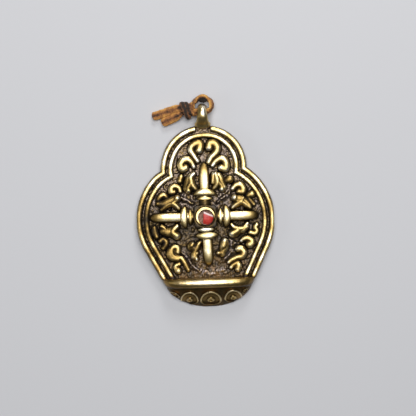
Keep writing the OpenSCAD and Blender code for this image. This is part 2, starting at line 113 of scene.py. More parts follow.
# The name of each light, its place and size in metres, and its watts
LIGHTS = [
    ("key_light", (0.02, 0.09, 0.45), 0.31, 1.75),
    ("top_light", (0.06, 0.32, 0.22), 0.12, 0.45),
    ("side_light", (-0.35, -0.02, 0.22), 0.16, 0.12),
]
bpy.ops.mesh.primitive_plane_add(size=FLOOR_SIZE, location=(0, 0, -FLOOR_DROP))
floor = bpy.context.object
floor.name = "floor"
paper = bpy.data.materials.new("pale_paper")
paper.use_nodes = True
paper_shader = paper.node_tree.nodes["Principled BSDF"]
paper_shader.inputs["Base Color"].default_value = PAPER_GREY
paper_shader.inputs["Roughness"].default_value = PAPER_ROUGH
floor.data.materials.append(paper)
for name, place, size, watts in LIGHTS:
    bpy.ops.object.light_add(type="AREA", location=place)
    light = bpy.context.object
    light.name = name
    light.data.size = size
    light.data.energy = watts
    light.rotation_euler = (-Vector(place)).to_track_quat("-Z", "Y").to_euler()
world = bpy.data.worlds.new("studio")
world.use_nodes = True
sky = world.node_tree.nodes["Background"]
sky.inputs["Color"].default_value = SKY_BLUE
sky.inputs["Strength"].default_value = SKY_STRENGTH
bpy.context.scene.world = world
bpy.context.scene.view_settings.view_transform = "Standard"
print("lights:", len(LIGHTS))

# %% [markdown]
# ## Working by hand in code
# Most pieces below are worked the same way, so the moves that repeat come first: choosing one piece, giving
# it a modifier and applying it at once, taking a copy of a solid whose loose triangles are merged, and
# moving its points.

# %% Work a piece


def choose(piece):
    """Makes a piece the only one selected, and active."""
    bpy.ops.object.select_all(action="DESELECT")
    piece.select_set(True)
    bpy.context.view_layer.objects.active = piece


def edit(piece):
    """Opens a piece for edits, with all of it selected."""
    choose(piece)
    bpy.ops.object.mode_set(mode="EDIT")
    bpy.ops.mesh.select_all(action="SELECT")


def work(piece, kind, **settings):
    """Adds a modifier to a piece and applies it."""
    choose(piece)
    modifier = piece.modifiers.new(kind.title(), kind)
    for key, value in settings.items():
        setattr(modifier, key, value)
    bpy.ops.object.modifier_apply(modifier=modifier.name)


def push(piece, depth):
    """Moves a skin outwards by a depth in millimetres."""
    work(piece, "DISPLACE", strength=depth * MM, mid_level=0)


def roughen(piece, texture, depth):
    """Pushes a skin in and out by a pattern, so deep in millimetres."""
    work(piece, "DISPLACE", texture=texture, texture_coords="LOCAL", strength=depth * MM, mid_level=0.5)


def fuse(piece, voxel):
    """Turns a piece into one even skin, with cells of a size in millimetres."""
    work(piece, "REMESH", mode="VOXEL", voxel_size=voxel * MM)


def soften(piece, rounds):
    """Smooths a skin."""
    work(piece, "SMOOTH", factor=0.5, iterations=rounds)


def clouds(name, size):
    """A soft uneven pattern, with lumps of a size."""
    texture = bpy.data.textures.new(name, "CLOUDS")
    texture.noise_scale = size
    texture.noise_depth = 2
    return texture


WOBBLE = clouds("hand_finish", 1.6 * MM)
GRIT = clouds("cast_grit", 0.35 * MM)
NAP = clouds("suede_nap", 0.3 * MM)
print("patterns:", len(bpy.data.textures))

# %% Make a piece and move its points
MERGE_WITHIN = 0.001 * MM


def new_piece(name, mesh):
    """A piece in the scene, from a mesh."""
    piece = bpy.data.objects.new(name, mesh)
    bpy.context.scene.collection.objects.link(piece)
    return piece


def copy_of(node, name):
    """A new piece from a solid's own skin, merged."""
    piece = new_piece(name, frame["nodes"][node].data.copy())
    piece.data.materials.clear()
    edit(piece)
    bpy.ops.mesh.remove_doubles(threshold=MERGE_WITHIN)
    bpy.ops.object.mode_set(mode="OBJECT")
    return piece


def points_of(piece):
    """The places of a piece's vertices, one row each."""
    flat = np.empty(len(piece.data.vertices) * 3, np.float32)
    piece.data.vertices.foreach_get("co", flat)
    return flat.reshape(-1, 3).astype(float)


def move_points(piece, points):
    """Puts a piece's vertices in new places."""
    piece.data.vertices.foreach_set("co", points.astype(np.float32).ravel())
    piece.data.update()


def keep_values(mesh, name, values):
    """Keeps one value for each point of a mesh, as an attribute."""
    values = np.asarray(values).astype(np.float32)
    mesh.attributes.new(name, "FLOAT", "POINT").data.foreach_set("value", values)


def kept_values(mesh, name):
    """The values of an attribute, one for each point."""
    values = np.empty(len(mesh.vertices), np.float32)
    mesh.attributes[name].data.foreach_get("value", values)
    return values


print("pieces merge points within", MERGE_WITHIN / MM, "mm")

# %% [markdown]
# ## The thong's route
# The thong is one narrow strip of suede. It runs from the long tail through the knot, round through the
# bail's eye, back to the knot, twice round its own strand, and out as the short tail. The points of the
# tails and of the loop are those of the solids, and the turns of the knot are worked out.

# %% Lay out the route
TAIL_LONG = [
    (-5.1, 26.1, 1.8), (-5.5, 26.1, 1.8), (-6.2, 25.9, 1.5), (-7.6, 25.5, 1), (-9.8, 24.9, 0.8),
    (-12, 24.3, 0.8),
]
CORE = [(-4.4, 25.75, 1.85), (-3.8, 25.75, 1.85), (-3.2, 25.75, 1.85)]
LOOP = [
    (-2.5, 26.5, 1.9), (-2.2, 26.5, 1.9), (-1.8, 26.9, 2.0), (-1.7, 27.5, 2.2), (-1.1, 28.3, 2.4),
    (0.1, 28.7, 2.6), (1.3, 28.4, 2.7), (2.0, 27.6, 2.7), (2.2, 26.6, 2.7), (1.9, 25.6, 2.7),
    (1.1, 25.1, 2.7), (0, 25.1, 2.7), (-1.1, 25.1, 2.5), (-1.8, 24.9, 2.1), (-2.2, 24.8, 1.9),
    (-2.5, 24.8, 1.9),
]
TAIL_SHORT = [
    (-5.1, 24.5, 1.6), (-5.5, 24.5, 1.6), (-6.1, 24.2, 1.3), (-7.2, 23.7, 0.9), (-8.5, 23.2, 0.8),
    (-9.8, 22.7, 0.8),
]
print("points of the route:", len(TAIL_LONG) + len(CORE) + len(LOOP) + len(TAIL_SHORT))

# %% [markdown]
# ## Widths along the route
# Each stop on the route has a place, a way its flat side faces, a width and a depth. The strip is wide in
# the tails, narrow in the knot and in the eye, and broadest over the top of the loop, which is drawn in a
# little.

# %% Set the stops
FLAT = Vector((0, 0, 1))
# A tail has its full width beyond this x, and is narrower by the knot
SPREAD_X = -6
TAIL_WIDE, TAIL_DEEP = 2.1, 1.2
LONG_NECK, SHORT_NECK = 1.6, 1.5
CORE_WIDE, CORE_DEEP = 1.5, 1.0
LOOP_MIDDLE = Vector((0.2, 26.8, 0))
LOOP_LEAN, LOOP_IN = 0.5, 0.55
LOOP_WIDE, LOOP_DEEP = 2, 1
TOP_WIDER, TOP_DEEPER, EYE_NARROWER = 1, 0.3, 0.5
KNOT = Vector((-3.8, 25.4, 1.9))
WRAP_HALF = (1.55, 1.05)
WRAP_FROM, WRAP_TO = 110, -450
WRAP_X = (-3.1, -4.5)
WRAP_SLANT = 0.33
WRAP_WIDE, WRAP_DEEP = 1.25, 1.2
TURN_STEPS = 28


def tail_width(point, neck):
    """The width of a tail at a point."""
    return TAIL_WIDE if point[0] < SPREAD_X else neck


stops = [(Vector(p), FLAT, tail_width(p, LONG_NECK), TAIL_DEEP) for p in reversed(TAIL_LONG)]
stops += [(Vector(p), FLAT, CORE_WIDE, CORE_DEEP) for p in CORE]
for p in LOOP:
    outward = (Vector((p[0], p[1], 0)) - LOOP_MIDDLE).normalized()
    at_top = max(0, outward.y) ** 2
    in_eye = max(0, -outward.y) ** 2
    place = Vector(p) - outward * LOOP_IN * at_top
    facing = outward + FLAT * LOOP_LEAN * (1 - 2 * at_top)
    width = LOOP_WIDE + TOP_WIDER * at_top - EYE_NARROWER * in_eye
    stops.append((place, facing.normalized(), width, LOOP_DEEP + TOP_DEEPER * at_top))
for i in range(TURN_STEPS + 1):
    share = i / TURN_STEPS
    turn = math.radians(WRAP_FROM + (WRAP_TO - WRAP_FROM) * share)
    off = Vector((0, WRAP_HALF[0] * math.cos(turn), WRAP_HALF[1] * math.sin(turn)))
    x = WRAP_X[0] + (WRAP_X[1] - WRAP_X[0]) * share - WRAP_SLANT * off.y
    place = Vector((x, KNOT.y + off.y, KNOT.z + off.z))
    stops.append((place, off.normalized(), WRAP_WIDE, WRAP_DEEP))
stops += [(Vector(p), -FLAT, tail_width(p, SHORT_NECK), TAIL_DEEP) for p in TAIL_SHORT[1:]]
print("stops on the thong's route:", len(stops))

# %% [markdown]
# ## The thong as a swept strip
# A strip that twists needs more than a bevelled curve: its section is a flattened oval that turns with the
# route, swells in the tails and tightens in the turns. So rings are laid along a smooth line through the
# stops, and the skin between them is rounded off and closed at both ends. Attributes keep what the suede's
# colour follows: how near the strip's edge a point lies, and whether it is on the strip's back.

# %% Draw a smooth line through the stops
RING_STEP = 0.11


def through(a, b, c, d, t):
    """A point on the smooth line from b to c."""
    return 0.5 * (2 * b + (c - a) * t + (2 * a - 5 * b + 4 * c - d) * t**2 + (3 * b - a - 3 * c + d) * t**3)


def smooth_rows(rows, step, columns):
    """Rows with others between them, about a step apart in so many of their first columns."""
    rows = np.array(rows, float)
    last = len(rows) - 1
    fine = []
    for i in range(last):
        four = [rows[k] for k in (max(i - 1, 0), i, i + 1, min(i + 2, last))]
        count = max(1, round(np.linalg.norm(rows[i + 1, :columns] - rows[i, :columns]) / step))
        fine += [through(*four, s / count) for s in range(count)]
    return np.array(fine + [rows[last]])


rows = smooth_rows([[*place, *facing, width, depth] for place, facing, width, depth in stops], RING_STEP, 3)
print("rings along the thong:", len(rows))

# %% Sweep the thong
RING_SIDES = 20
SECTION_POWER = 0.75
END_ROUND, END_LEAST = 0.8, 0.04


def rounded(wave):
    """A sine or cosine made fuller, so that the section is nearer a rounded strip."""
    return np.sign(wave) * np.abs(wave) ** SECTION_POWER


def strip_faces(rings):
    """The faces between the rings, and the fans that close both ends."""
    m, last = RING_SIDES, rings - 1
    faces = []
    for k in range(last):
        for j in range(m):
            faces.append((k * m + j, k * m + (j + 1) % m, (k + 1) * m + (j + 1) % m, (k + 1) * m + j))
    for j in range(m):
        faces.append((rings * m, (j + 1) % m, j))
        faces.append((rings * m + 1, last * m + j, last * m + (j + 1) % m))
    return faces


def sweep(name, rows):
    """A closed skin round the rows, in metres, with its line."""
    line = rows[:, :3] * MM
    tangents = np.gradient(line, axis=0)
    tangents /= np.linalg.norm(tangents, axis=1)[:, None]
    facing = rows[:, 3:6] - (rows[:, 3:6] * tangents).sum(1)[:, None] * tangents
    facing /= np.linalg.norm(facing, axis=1)[:, None]
    across = np.cross(tangents, facing)
    turns = np.linspace(0, 2 * np.pi, RING_SIDES, endpoint=False)
    wide, deep = rounded(np.cos(turns)), rounded(np.sin(turns))
    from_end = np.minimum(np.arange(len(rows)), np.arange(len(rows))[::-1]) * RING_STEP
    rounding = np.sqrt(1 - (1 - np.clip(from_end / END_ROUND, END_LEAST, 1)) ** 2)
    half = rows[:, 6:8] * rounding[:, None] * MM / 2
    skin = line[:, None] + wide[None, :, None] * (half[:, :1] * across)[:, None]
    skin += deep[None, :, None] * (half[:, 1:] * facing)[:, None]
    points = np.concatenate([skin.reshape(-1, 3), line[:1], line[-1:]])
    mesh = bpy.data.meshes.new(name)
    mesh.from_pydata(points.tolist(), [], strip_faces(len(rows)))
    for key, values in (("edge", np.abs(wide)), ("back", np.maximum(-deep, 0))):
        keep_values(mesh, key, np.concatenate([np.tile(values, len(rows)), [0, 0]]))
    return new_piece(name, mesh), line


thong, thong_line = sweep("thong", rows)

# %% [markdown]
# ## Suede
# Suede is soft and slightly lumpy, so the strip is divided once and pushed in and out by two cloud
# patterns. Then the legs of the loop are set aside, clear of the bail, so that the thong can swing.

# %% Roughen the thong
LUMPS_DEEP, NAP_DEEP = 0.22, 0.34
# The strap lies between the first two distances from the eye, and the move eases in over the third
EYE_R, BAIL_R, LEG_EASE = 1.55, 2.9, 0.2
# Points beside the strap and further out than the first x are moved out to the second
STRAP_CLEAR, LEG_CLEAR = 0.9, 1.72
work(thong, "SUBSURF", levels=1, render_levels=1)
roughen(thong, WOBBLE, LUMPS_DEEP)
roughen(thong, NAP, NAP_DEEP)
choose(thong)
bpy.ops.object.shade_smooth()
skin = np.array([v.co for v in thong.data.vertices]) / MM
reach = np.hypot(skin[:, 1] - EYE.y / MM, skin[:, 2] - EYE.z / MM)
beside = np.clip((reach - EYE_R) / LEG_EASE, 0, 1) * np.clip((BAIL_R - reach) / LEG_EASE, 0, 1)
across = np.abs(skin[:, 0])
short = np.where(across > STRAP_CLEAR, np.maximum(LEG_CLEAR - across, 0), 0)
skin[:, 0] += np.sign(skin[:, 0]) * short * beside
thong.data.vertices.foreach_set("co", (skin * MM).astype(np.float32).ravel())
print("thong faces", len(thong.data.polygons), "legs moved by up to", round((short * beside).max(), 2), "mm")

# %% [markdown]
# ## Dirt and painted shade on the thong
# Handling has blackened the knot, and the inside of the loop is painted dark as painted shade. A third
# attribute says how dark each point is, from dirt or from painted shade.

# %% Soil the thong and paint shade inside the loop
KNOT_SOIL, LOOP_SHADE = 1.9, 2.2
near_knot = np.abs(skin[:, 0] - KNOT.x + WRAP_SLANT * (skin[:, 1] - KNOT.y))
soil = np.clip(KNOT_SOIL - near_knot, 0, 1)
# Painted shade: the back of the strip inside the loop is darkened, so the loop's hole looks shadowed.
soil += LOOP_SHADE * kept_values(thong.data, "back") * (skin[:, 0] > LOOP[0][0])
keep_values(thong.data, "soil", soil)
print("soiled points:", int((soil > 0).sum()), "of", len(soil))

# %% [markdown]
# ## Building materials
# A material is a small graph. To keep each one short, a helper adds nodes and feeds their sockets by name,
# either from another node or with a plain value. The suede is the first to use it: ochre to dark brown,
# with paler cut edges and the middle of each face painted darker, as painted shade in a fold along the strip.

# %% Helpers for materials


class Paint:
    """A material under construction."""

    def __init__(self, name):
        self.material = bpy.data.materials.new(name)
        self.material.use_nodes = True
        self.tree = self.material.node_tree
        self.shader = self.tree.nodes["Principled BSDF"]
        self.place = self.add("ShaderNodeTexCoord").outputs["Object"]

    def feed(self, socket, source):
        """Links a socket to a source, or sets it to a plain value."""
        if hasattr(source, "is_linked"):
            self.tree.links.new(source, socket)
        else:
            socket.default_value = source

    def add(self, kind, links=None, **settings):
        node = self.tree.nodes.new(kind)
        for key, value in settings.items():
            setattr(node, key, value)
        for socket, source in (links or {}).items():
            self.feed(node.inputs[socket], source)
        return node

    def noise(self, scale, detail=3.0, rough=0.55):
        links = {"Vector": self.place, "Scale": scale, "Detail": detail, "Roughness": rough}
        return self.add("ShaderNodeTexNoise", links).outputs["Fac"]

    def math(self, operation, a, b=0.0, c=0.0, clamp=False):
        node = self.add("ShaderNodeMath", {0: a, 1: b, 2: c}, operation=operation)
        node.use_clamp = clamp
        return node.outputs[0]

    def attribute(self, name):
        """The values that a mesh keeps under a name."""
        return self.add("ShaderNodeAttribute", attribute_name=name).outputs["Fac"]

    def ramp(self, source, stops):
        node = self.add("ShaderNodeValToRGB", {"Fac": source})
        elements = node.color_ramp.elements
        while len(elements) < len(stops):
            elements.new(0.5)
        for element, (at, colour) in zip(elements, stops):
            element.position = at
            element.color = (*colour, 1)
        return node.outputs["Color"]

    def mix(self, share, a, b):
        node = self.add("ShaderNodeMix", data_type="RGBA")
        for index, source in ((0, share), (6, a), (7, b)):
            self.feed(node.inputs[index], source)
        return node.outputs[2]

    def bump(self, height, strength, depth):
        links = {"Height": height, "Strength": strength, "Distance": depth}
        node = self.add("ShaderNodeBump", links)
        self.tree.links.new(node.outputs["Normal"], self.shader.inputs["Normal"])

    def set(self, **sockets):
        """Feeds the shader's own sockets."""
        for name, source in sockets.items():
            self.feed(self.shader.inputs[name.replace("_", " ")], source)


def per_mm(count):
    """A noise scale that gives so many lumps a millimetre."""
    return count / MM


suede = Paint("suede")
print("nodes in a new material:", len(suede.tree.nodes))

# %% Suede finish
MOTTLE_SHARE, FIBRE_SHARE, EDGE_SHARE, SOIL_AND_SHADE_SHARE = 1.3, 0.9, 0.6, -0.42
TONE_SHIFT = -0.95
SUEDE_TONES = [
    (0.0, (0.03, 0.019, 0.012)), (0.25, (0.20, 0.080, 0.03)), (0.5, (0.42, 0.18, 0.05)),
    (0.75, (0.62, 0.31, 0.07)), (1.0, (0.86, 0.56, 0.19)),
]
mottle = suede.noise(per_mm(0.8), detail=5.0, rough=0.7)
fibre = suede.noise(per_mm(3), detail=4.0, rough=0.75)
tone = suede.math("MULTIPLY_ADD", mottle, MOTTLE_SHARE, TONE_SHIFT)
# Paler edges, and the middle of each face darker as painted shade in a fold along the strip.
tone = suede.math("MULTIPLY_ADD", suede.attribute("edge"), EDGE_SHARE, tone)
tone = suede.math("MULTIPLY_ADD", fibre, FIBRE_SHARE, tone)
# Dirt on the knot and painted shade inside the loop darken the suede.
tone = suede.math("MULTIPLY_ADD", suede.attribute("soil"), SOIL_AND_SHADE_SHARE, tone, clamp=True)
suede.set(
    Base_Color=suede.ramp(tone, SUEDE_TONES), Roughness=0.92, Sheen_Weight=0.08, Sheen_Roughness=0.5,
)
suede.bump(fibre, strength=0.7, depth=0.12 * MM)
thong.data.materials.append(suede.material)
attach(thong, "thong")
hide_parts("thong_loop", "thong_knot", "thong_tail_long", "thong_tail_short")
print("thong rides and stands for four solids")

# %% [markdown]
# ## Casting the brass pieces again
# A cast and filed relief has no sharp facets. Each brass solid is copied, swollen, turned into one even
# skin by a voxel remesh, shrunk back and smoothed. Swelling and shrinking closes narrow gaps and rounds
# inner corners, as solder does. Near the plate the skin flares out a little, and a soft cloud pattern makes
# the surface uneven. A prong is then pressed flatter and narrowed towards its tip.

# %% Recast the prongs
castings = []
FLARE_HIGH = 0.6 * MM
PRONG_ROUNDS = 10
TIP_FROM, TIP_DROP = 0.45, 0.3
TIP_TAPER = {"top": 0.45, "bottom": 0.25, "left": 0.2, "right": 0.2}


def finish_casting(piece, node, flare, uneven):
    """Flares a casting's foot, makes it uneven and puts it in place of its solid."""
    if flare:
        foot = piece.vertex_groups.new(name="foot")
        for v in piece.data.vertices:
            foot.add([v.index], max(0, 1 - (v.co.z - PLATE_TOP) / FLARE_HIGH) ** 2, "REPLACE")
        work(piece, "DISPLACE", strength=flare * MM, mid_level=0, vertex_group="foot")
        piece.vertex_groups.clear()
    if uneven:
        roughen(piece, WOBBLE, uneven)
    choose(piece)
    bpy.ops.object.shade_smooth()
    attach(piece, "pendant")
    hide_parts(node)
    castings.append(piece)
    return piece


def recast(node, voxel, swell, rounds, grow=0.0, flare=0.16, uneven=0.06):
    """A rounded casting of one solid. All lengths are in millimetres."""
    piece = copy_of(node, node + "_cast")
    push(piece, swell)
    fuse(piece, voxel)
    push(piece, grow - swell)
    soften(piece, rounds)
    return finish_casting(piece, node, flare, uneven)


def tell_castings():
    """Prints how many castings there are, with their faces."""
    print("castings:", len(castings), "faces", sum(len(c.data.polygons) for c in castings))


def press(piece, keep, share):
    """Flattens what stands above a share of a piece's height, and keeps so much of it."""
    points = points_of(piece)
    level = PLATE_TOP + share * (points[:, 2].max() - PLATE_TOP)
    points[:, 2] -= np.maximum(points[:, 2] - level, 0) * (1 - keep)
    move_points(piece, points)


def axes_of(arm):
    """The axis along an arm and the one across it."""
    return (1, 0) if arm in ("top", "bottom") else (0, 1)


def point_tip(piece, arm):
    """Narrows and lowers the outer part of a prong."""
    along, across = axes_of(arm)
    points = points_of(piece)
    low, high = points.min(0), points.max(0)
    middle = (low + high) / 2
    share = (points[:, along] - low[along]) / (high[along] - low[along])
    if arm in ("left", "bottom"):
        share = 1 - share
    end = np.clip((share - TIP_FROM) / (1 - TIP_FROM), 0, 1) ** 2
    points[:, across] = middle[across] + (points[:, across] - middle[across]) * (1 - TIP_TAPER[arm] * end)
    points[:, 2] = PLATE_TOP + (points[:, 2] - PLATE_TOP) * (1 - TIP_DROP * end)
    move_points(piece, points)


names = sorted(frame["nodes"])
for node in [n for n in names if n.startswith("prong_")]:
    prong = recast(node, voxel=0.09, swell=0.04, rounds=PRONG_ROUNDS, grow=0.3)
    press(prong, keep=0.3, share=0.7)
    point_tip(prong, node.split("_")[-1])
    soften(prong, PRONG_ROUNDS)
tell_castings()

# %% [markdown]
# ## Rings across the arms
# A neck ring and a lotus collar lie across each arm. Their ends are drawn thin, so that they look like
# lenses from above.

# %% Recast the rings
LENS_TAPER, RING_ROUNDS = 0.55, 5
RING_GROW, BOTTOM_NECK_GROW = 0.16, 0.3


def lens(piece, arm):
    """Draws a ring across an arm to thin ends."""
    along, across = axes_of(arm)
    points = points_of(piece)
    middle = (points.min(0) + points.max(0)) / 2
    half = (points.max(0) - points.min(0)) / 2
    share = np.abs(points[:, across] - middle[across]) / half[across]
    points[:, along] = middle[along] + (points[:, along] - middle[along]) * (1 - LENS_TAPER * share**2)
    move_points(piece, points)


for node in [n for n in names if n.startswith(("lotus_collar_", "neck_ring_"))]:
    grow = BOTTOM_NECK_GROW if node == "neck_ring_bottom" else RING_GROW
    ring = recast(node, voxel=0.09, swell=0.04, rounds=RING_ROUNDS, grow=grow)
    press(ring, keep=0.35, share=0.7)
    lens(ring, node.split("_")[-1])
    soften(ring, RING_ROUNDS)
tell_castings()

# %% [markdown]
# ## Scrolls and side prongs of wax
# Scrolls fill the ground of the plate, and beside each prong stand two smaller ones: an arch that springs
# from the collar, with a curled lobe on its shoulder. A maker rolls such forms from wax, so they are built
# from strokes. A stroke is a row of round beads, close together, that swells and tapers along a drawn line,
# and lower, broader strokes fill the bodies out. A voxel remesh fuses the beads into one skin, a bisect cuts
# it off at the plate, and the crest is pressed flatter, as wear does.

# %% Draw the scrolls
# Each stop is its place on the plate and the width of the bright crest there, in millimetres
SCROLL_STROKES = {
    "crown_left": [[(-1.5, 13.3, 0.5), (-2.3, 14.6, 0.7), (-3, 15.9, 0.8), (-2.6, 17, 0.9), (-1.4, 17.6, 1.1),
                    (-0.7, 17.1, 1.2), (-1, 15.9, 1.1)]],
    "crown_right": [[(1.2, 12.9, 0.6), (1.9, 14.1, 0.8), (3, 15.2, 0.9), (3.4, 16.4, 1), (2.7, 17.4, 1.2),
                     (1.7, 17.4, 1.2), (1.4, 16.5, 1.1)]],
    "shoulder_left": [[(-2.4, 11.9, 0.4), (-2.9, 13, 0.7), (-3.8, 13.7, 1), (-4.9, 13.5, 1.1),
                       (-5.5, 12.5, 1.1), (-5.1, 11.5, 1.1), (-4.4, 11.8, 0.9)]],
    "shoulder_right": [[(2.1, 12.2, 0.5), (2.8, 13.1, 0.7), (3.9, 13.7, 0.9), (4.9, 13.4, 1),
                        (5.4, 12.4, 1), (5.1, 11.3, 1.1), (4.2, 11.5, 1)]],
    "bud_left": [[(-5.5, 9.7, 0.5), (-5.8, 8.7, 0.6)]],
    "bud_right": [[(5.2, 8.4, 0.7), (6.1, 8.7, 1.1)]],
    "high_left": [[(-5.8, 6.2, 0.4), (-6.1, 7, 0.5), (-7.1, 7.4, 0.6), (-7.9, 7, 0.8), (-7.9, 6.1, 0.8),
                   (-7.4, 6.1, 0.6)]],
    "high_right": [[(6.8, 6.5, 0.5), (7.5, 7.2, 0.7), (8.6, 7.3, 0.8), (9.2, 6.5, 0.9), (9, 5.7, 1),
                    (8.3, 5.7, 0.8)]],
    "hook_left": [[(-9.1, 4.8, 0.3), (-9.7, 5.4, 0.5), (-10.5, 5.2, 0.6), (-11.1, 4.3, 0.4)]],
    "hook_right": [[(11.3, 5, 1), (10.5, 4.7, 0.7), (10.5, 4, 0.4), (11, 3.3, 0.5), (11.6, 2.6, 0.4)]],
    "leaf_left": [[(-12.4, -2.3, 0.2), (-12.3, -3.4, 0.3), (-11.9, -4.5, 0.2)]],
    "leaf_right": [[(12.2, -2.4, 0.5), (11.9, -3, 0.5), (12.2, -3.8, 0.5), (11.6, -4.4, 0.5),
                    (10.6, -4.2, 0.4)]],
    "low_left": [[(-10.9, -5.6, 0.5), (-10.3, -5.1, 0.4), (-9.6, -5.7, 0.5), (-9.7, -6.5, 0.5),
                  (-10.3, -7.3, 0.4)]],
    "low_right": [[(8.4, -6.1, 0.3), (8.9, -5.7, 0.5), (9.9, -5.5, 0.7), (10.8, -6, 0.8), (10.8, -6.7, 1),
                   (10.4, -7, 1.2)]],
    "wave_left": [[(-6.9, -8.3, 0.7), (-6.9, -7.4, 0.7), (-7.7, -7.1, 0.6), (-8.3, -7.7, 0.6),
                   (-8.3, -8.7, 0.6), (-7.8, -9.4, 0.6), (-6.8, -9.7, 0.5), (-6, -9.9, 0.5),
                   (-5.3, -11, 0.5), (-4.5, -12.6, 0.4)]],
    "wave_right": [[(7.7, -8, 1), (8.4, -8.1, 1.1), (8.9, -8.8, 1), (8.5, -9.7, 0.9), (7.2, -10.1, 0.7),
                    (6, -10.6, 0.6), (5.3, -11.1, 0.4)]],
    "corner_left": [[(-6.6, -11.2, 0.4), (-7.4, -11.6, 0.5), (-7.4, -12.3, 0.5), (-6.9, -12.8, 0.9)]],
    "corner_right": [[(5.8, -12.3, 0.4), (6.3, -11.8, 0.5), (7.2, -11.4, 0.7), (7.6, -11.9, 0.9),
                      (7.4, -12.8, 0.8)]],
}
print("scrolls:", len(SCROLL_STROKES))

# %% Draw the side prongs
SIDE_PRONG_STROKES = {
    "top_left": [[(-2.5, 10.2, 0.6), (-3.2, 9.4, 0.8), (-3.1, 8.2, 1), (-2.7, 7.3, 0.9), (-2, 6.5, 0.6)],
                 [(-3.2, 8, 1), (-3.9, 6.9, 0.9), (-3.8, 6.3, 0.9)]],
    "top_right": [[(2.7, 10, 0.7), (3.1, 8.6, 1.1), (2.9, 7.5, 0.9), (2.1, 6.5, 0.5)],
                  [(3.2, 8.3, 0.9), (4.1, 7.2, 0.7), (4.1, 6.4, 0.8)]],
    "left_upper": [[(-6.2, 2, 0.5), (-7, 2.9, 0.8), (-8, 3.3, 0.8), (-9.3, 2.8, 0.6), (-10.4, 1.9, 0.4)],
                   [(-7.7, 3.3, 0.9), (-7.1, 3.8, 0.8), (-6.6, 4.5, 1)]],
    "left_lower": [[(-10.5, -2, 0.5), (-9.9, -2.5, 0.6), (-9.4, -3.1, 0.5)],
                   [(-6.8, -2.1, 0.6), (-7.6, -2.9, 0.9), (-7.9, -3.5, 0.9), (-7, -4.4, 1.2)]],
    "right_upper": [[(6.5, 1.9, 0.5), (7.6, 2.8, 0.8), (8.8, 3.2, 0.8), (9.8, 2.6, 0.7), (10.7, 1.8, 0.5)],
                    [(8.5, 3.2, 0.9), (7.6, 3.6, 0.7), (7.1, 4.2, 1)],
                    [(8.7, 3.3, 0.9), (9.1, 4.1, 0.5)]],
    "right_lower": [[(6.1, -2, 0.4), (6.8, -2.8, 0.6), (7.8, -3.2, 0.8), (9, -3, 0.6), (9.9, -2, 0.5)],
                    [(7.6, -3.5, 1.1), (7, -3.9, 1.1), (6.3, -4.3, 1.2)]],
    "bottom_left": [[(-1.1, -5.8, 0.4), (-1.8, -6.5, 0.6), (-2.5, -7.6, 0.5)],
                    [(-3.2, -6.5, 0.6), (-3.5, -6.9, 0.8)],
                    [(-2.3, -8.7, 0.4), (-2.7, -9.2, 0.5), (-2.4, -10.2, 0.4)]],
    "bottom_right": [[(4.4, -6.1, 1.1), (4.2, -6.9, 1.2), (3.8, -7.7, 0.7), (3.6, -8.5, 0.5)],
                     [(2.8, -8.8, 0.5), (3.5, -8.8, 0.6)]],
}
print("side prongs:", len(SIDE_PRONG_STROKES))

# %% Draw the bodies
# Lower and broader swells that carry some of the crests, with their full width
BODIES = {
    "scroll_wave_left": [[(-8.4, -7.9, 1.6), (-8.7, -8.8, 1.7), (-8.1, -9.6, 1.5), (-6.9, -10, 1.2)]],
    "scroll_leaf_left": [[(-12.3, -2.4, 1), (-12.2, -3.4, 1.4), (-11.8, -4.5, 1)]],
    "side_prong_top_left": [[(-3.2, 9.9, 1), (-3.7, 8.9, 1.6), (-4, 7.8, 1.7), (-4.3, 6.8, 1.5)]],
    "side_prong_top_right": [[(3.4, 9.8, 1.2), (3.8, 9, 1.6), (4.1, 7.9, 1.7), (4.5, 6.9, 1.5)],
                             [(2.3, 9.9, 1.2), (2.1, 8.9, 1.1), (2, 8, 0.9)]],
    "side_prong_left_upper": [[(-11.2, 3.3, 1), (-10, 3.2, 1.6), (-8.7, 3.6, 2), (-7.4, 4.2, 1.7),
                               (-6.7, 4.6, 1.3)]],
    "side_prong_left_lower": [[(-6.9, -2.3, 0.9), (-7.9, -3.1, 1.8), (-8.9, -3.5, 2), (-10.1, -3.2, 1.7)],
                              [(-8, -3.8, 1.7), (-6.9, -4.5, 1.7)]],
    "side_prong_right_upper": [[(7.2, 4.2, 1.4), (8.5, 3.8, 1.8), (9.8, 3, 1.6), (10.7, 2.2, 0.9)]],
    "side_prong_right_lower": [[(7.6, -3.6, 1.8), (7, -4.2, 1.8), (6.4, -4.4, 1.5)],
                               [(7.8, -3.5, 1.6), (8.8, -3.4, 1.5), (9.8, -2.7, 1)]],
    "side_prong_bottom_left": [[(-1.9, -6.7, 1.2), (-2.5, -7.6, 1.3), (-3.1, -7.4, 1.6), (-3.5, -7.1, 1.9)],
                               [(-2.6, -7.9, 1.2), (-2.9, -8.8, 1.3), (-3, -9.6, 1.2)]],
    "side_prong_bottom_right": [[(4.6, -6.8, 1.5), (4.4, -7.6, 1.6), (4, -8.4, 1.3), (3.8, -9, 1.4)]],
}
BODY_RISE, BODY_SPREAD = 0.8, 0.35
print("bodies:", len(BODIES))

# %% Roll the strokes into pieces
BEAD_STEP = 0.28
BEAD_SIDES, BEAD_RINGS = 12, 8
CREST_WIDE = 1.22
# A thin stroke is also lower: its share of the height is the first number plus the second times its width
RISE_LEAST, RISE_GAIN = 0.55, 0.45
WAX_VOXEL, WAX_ROUNDS = 0.065, 12
SINK = 0.05 * MM


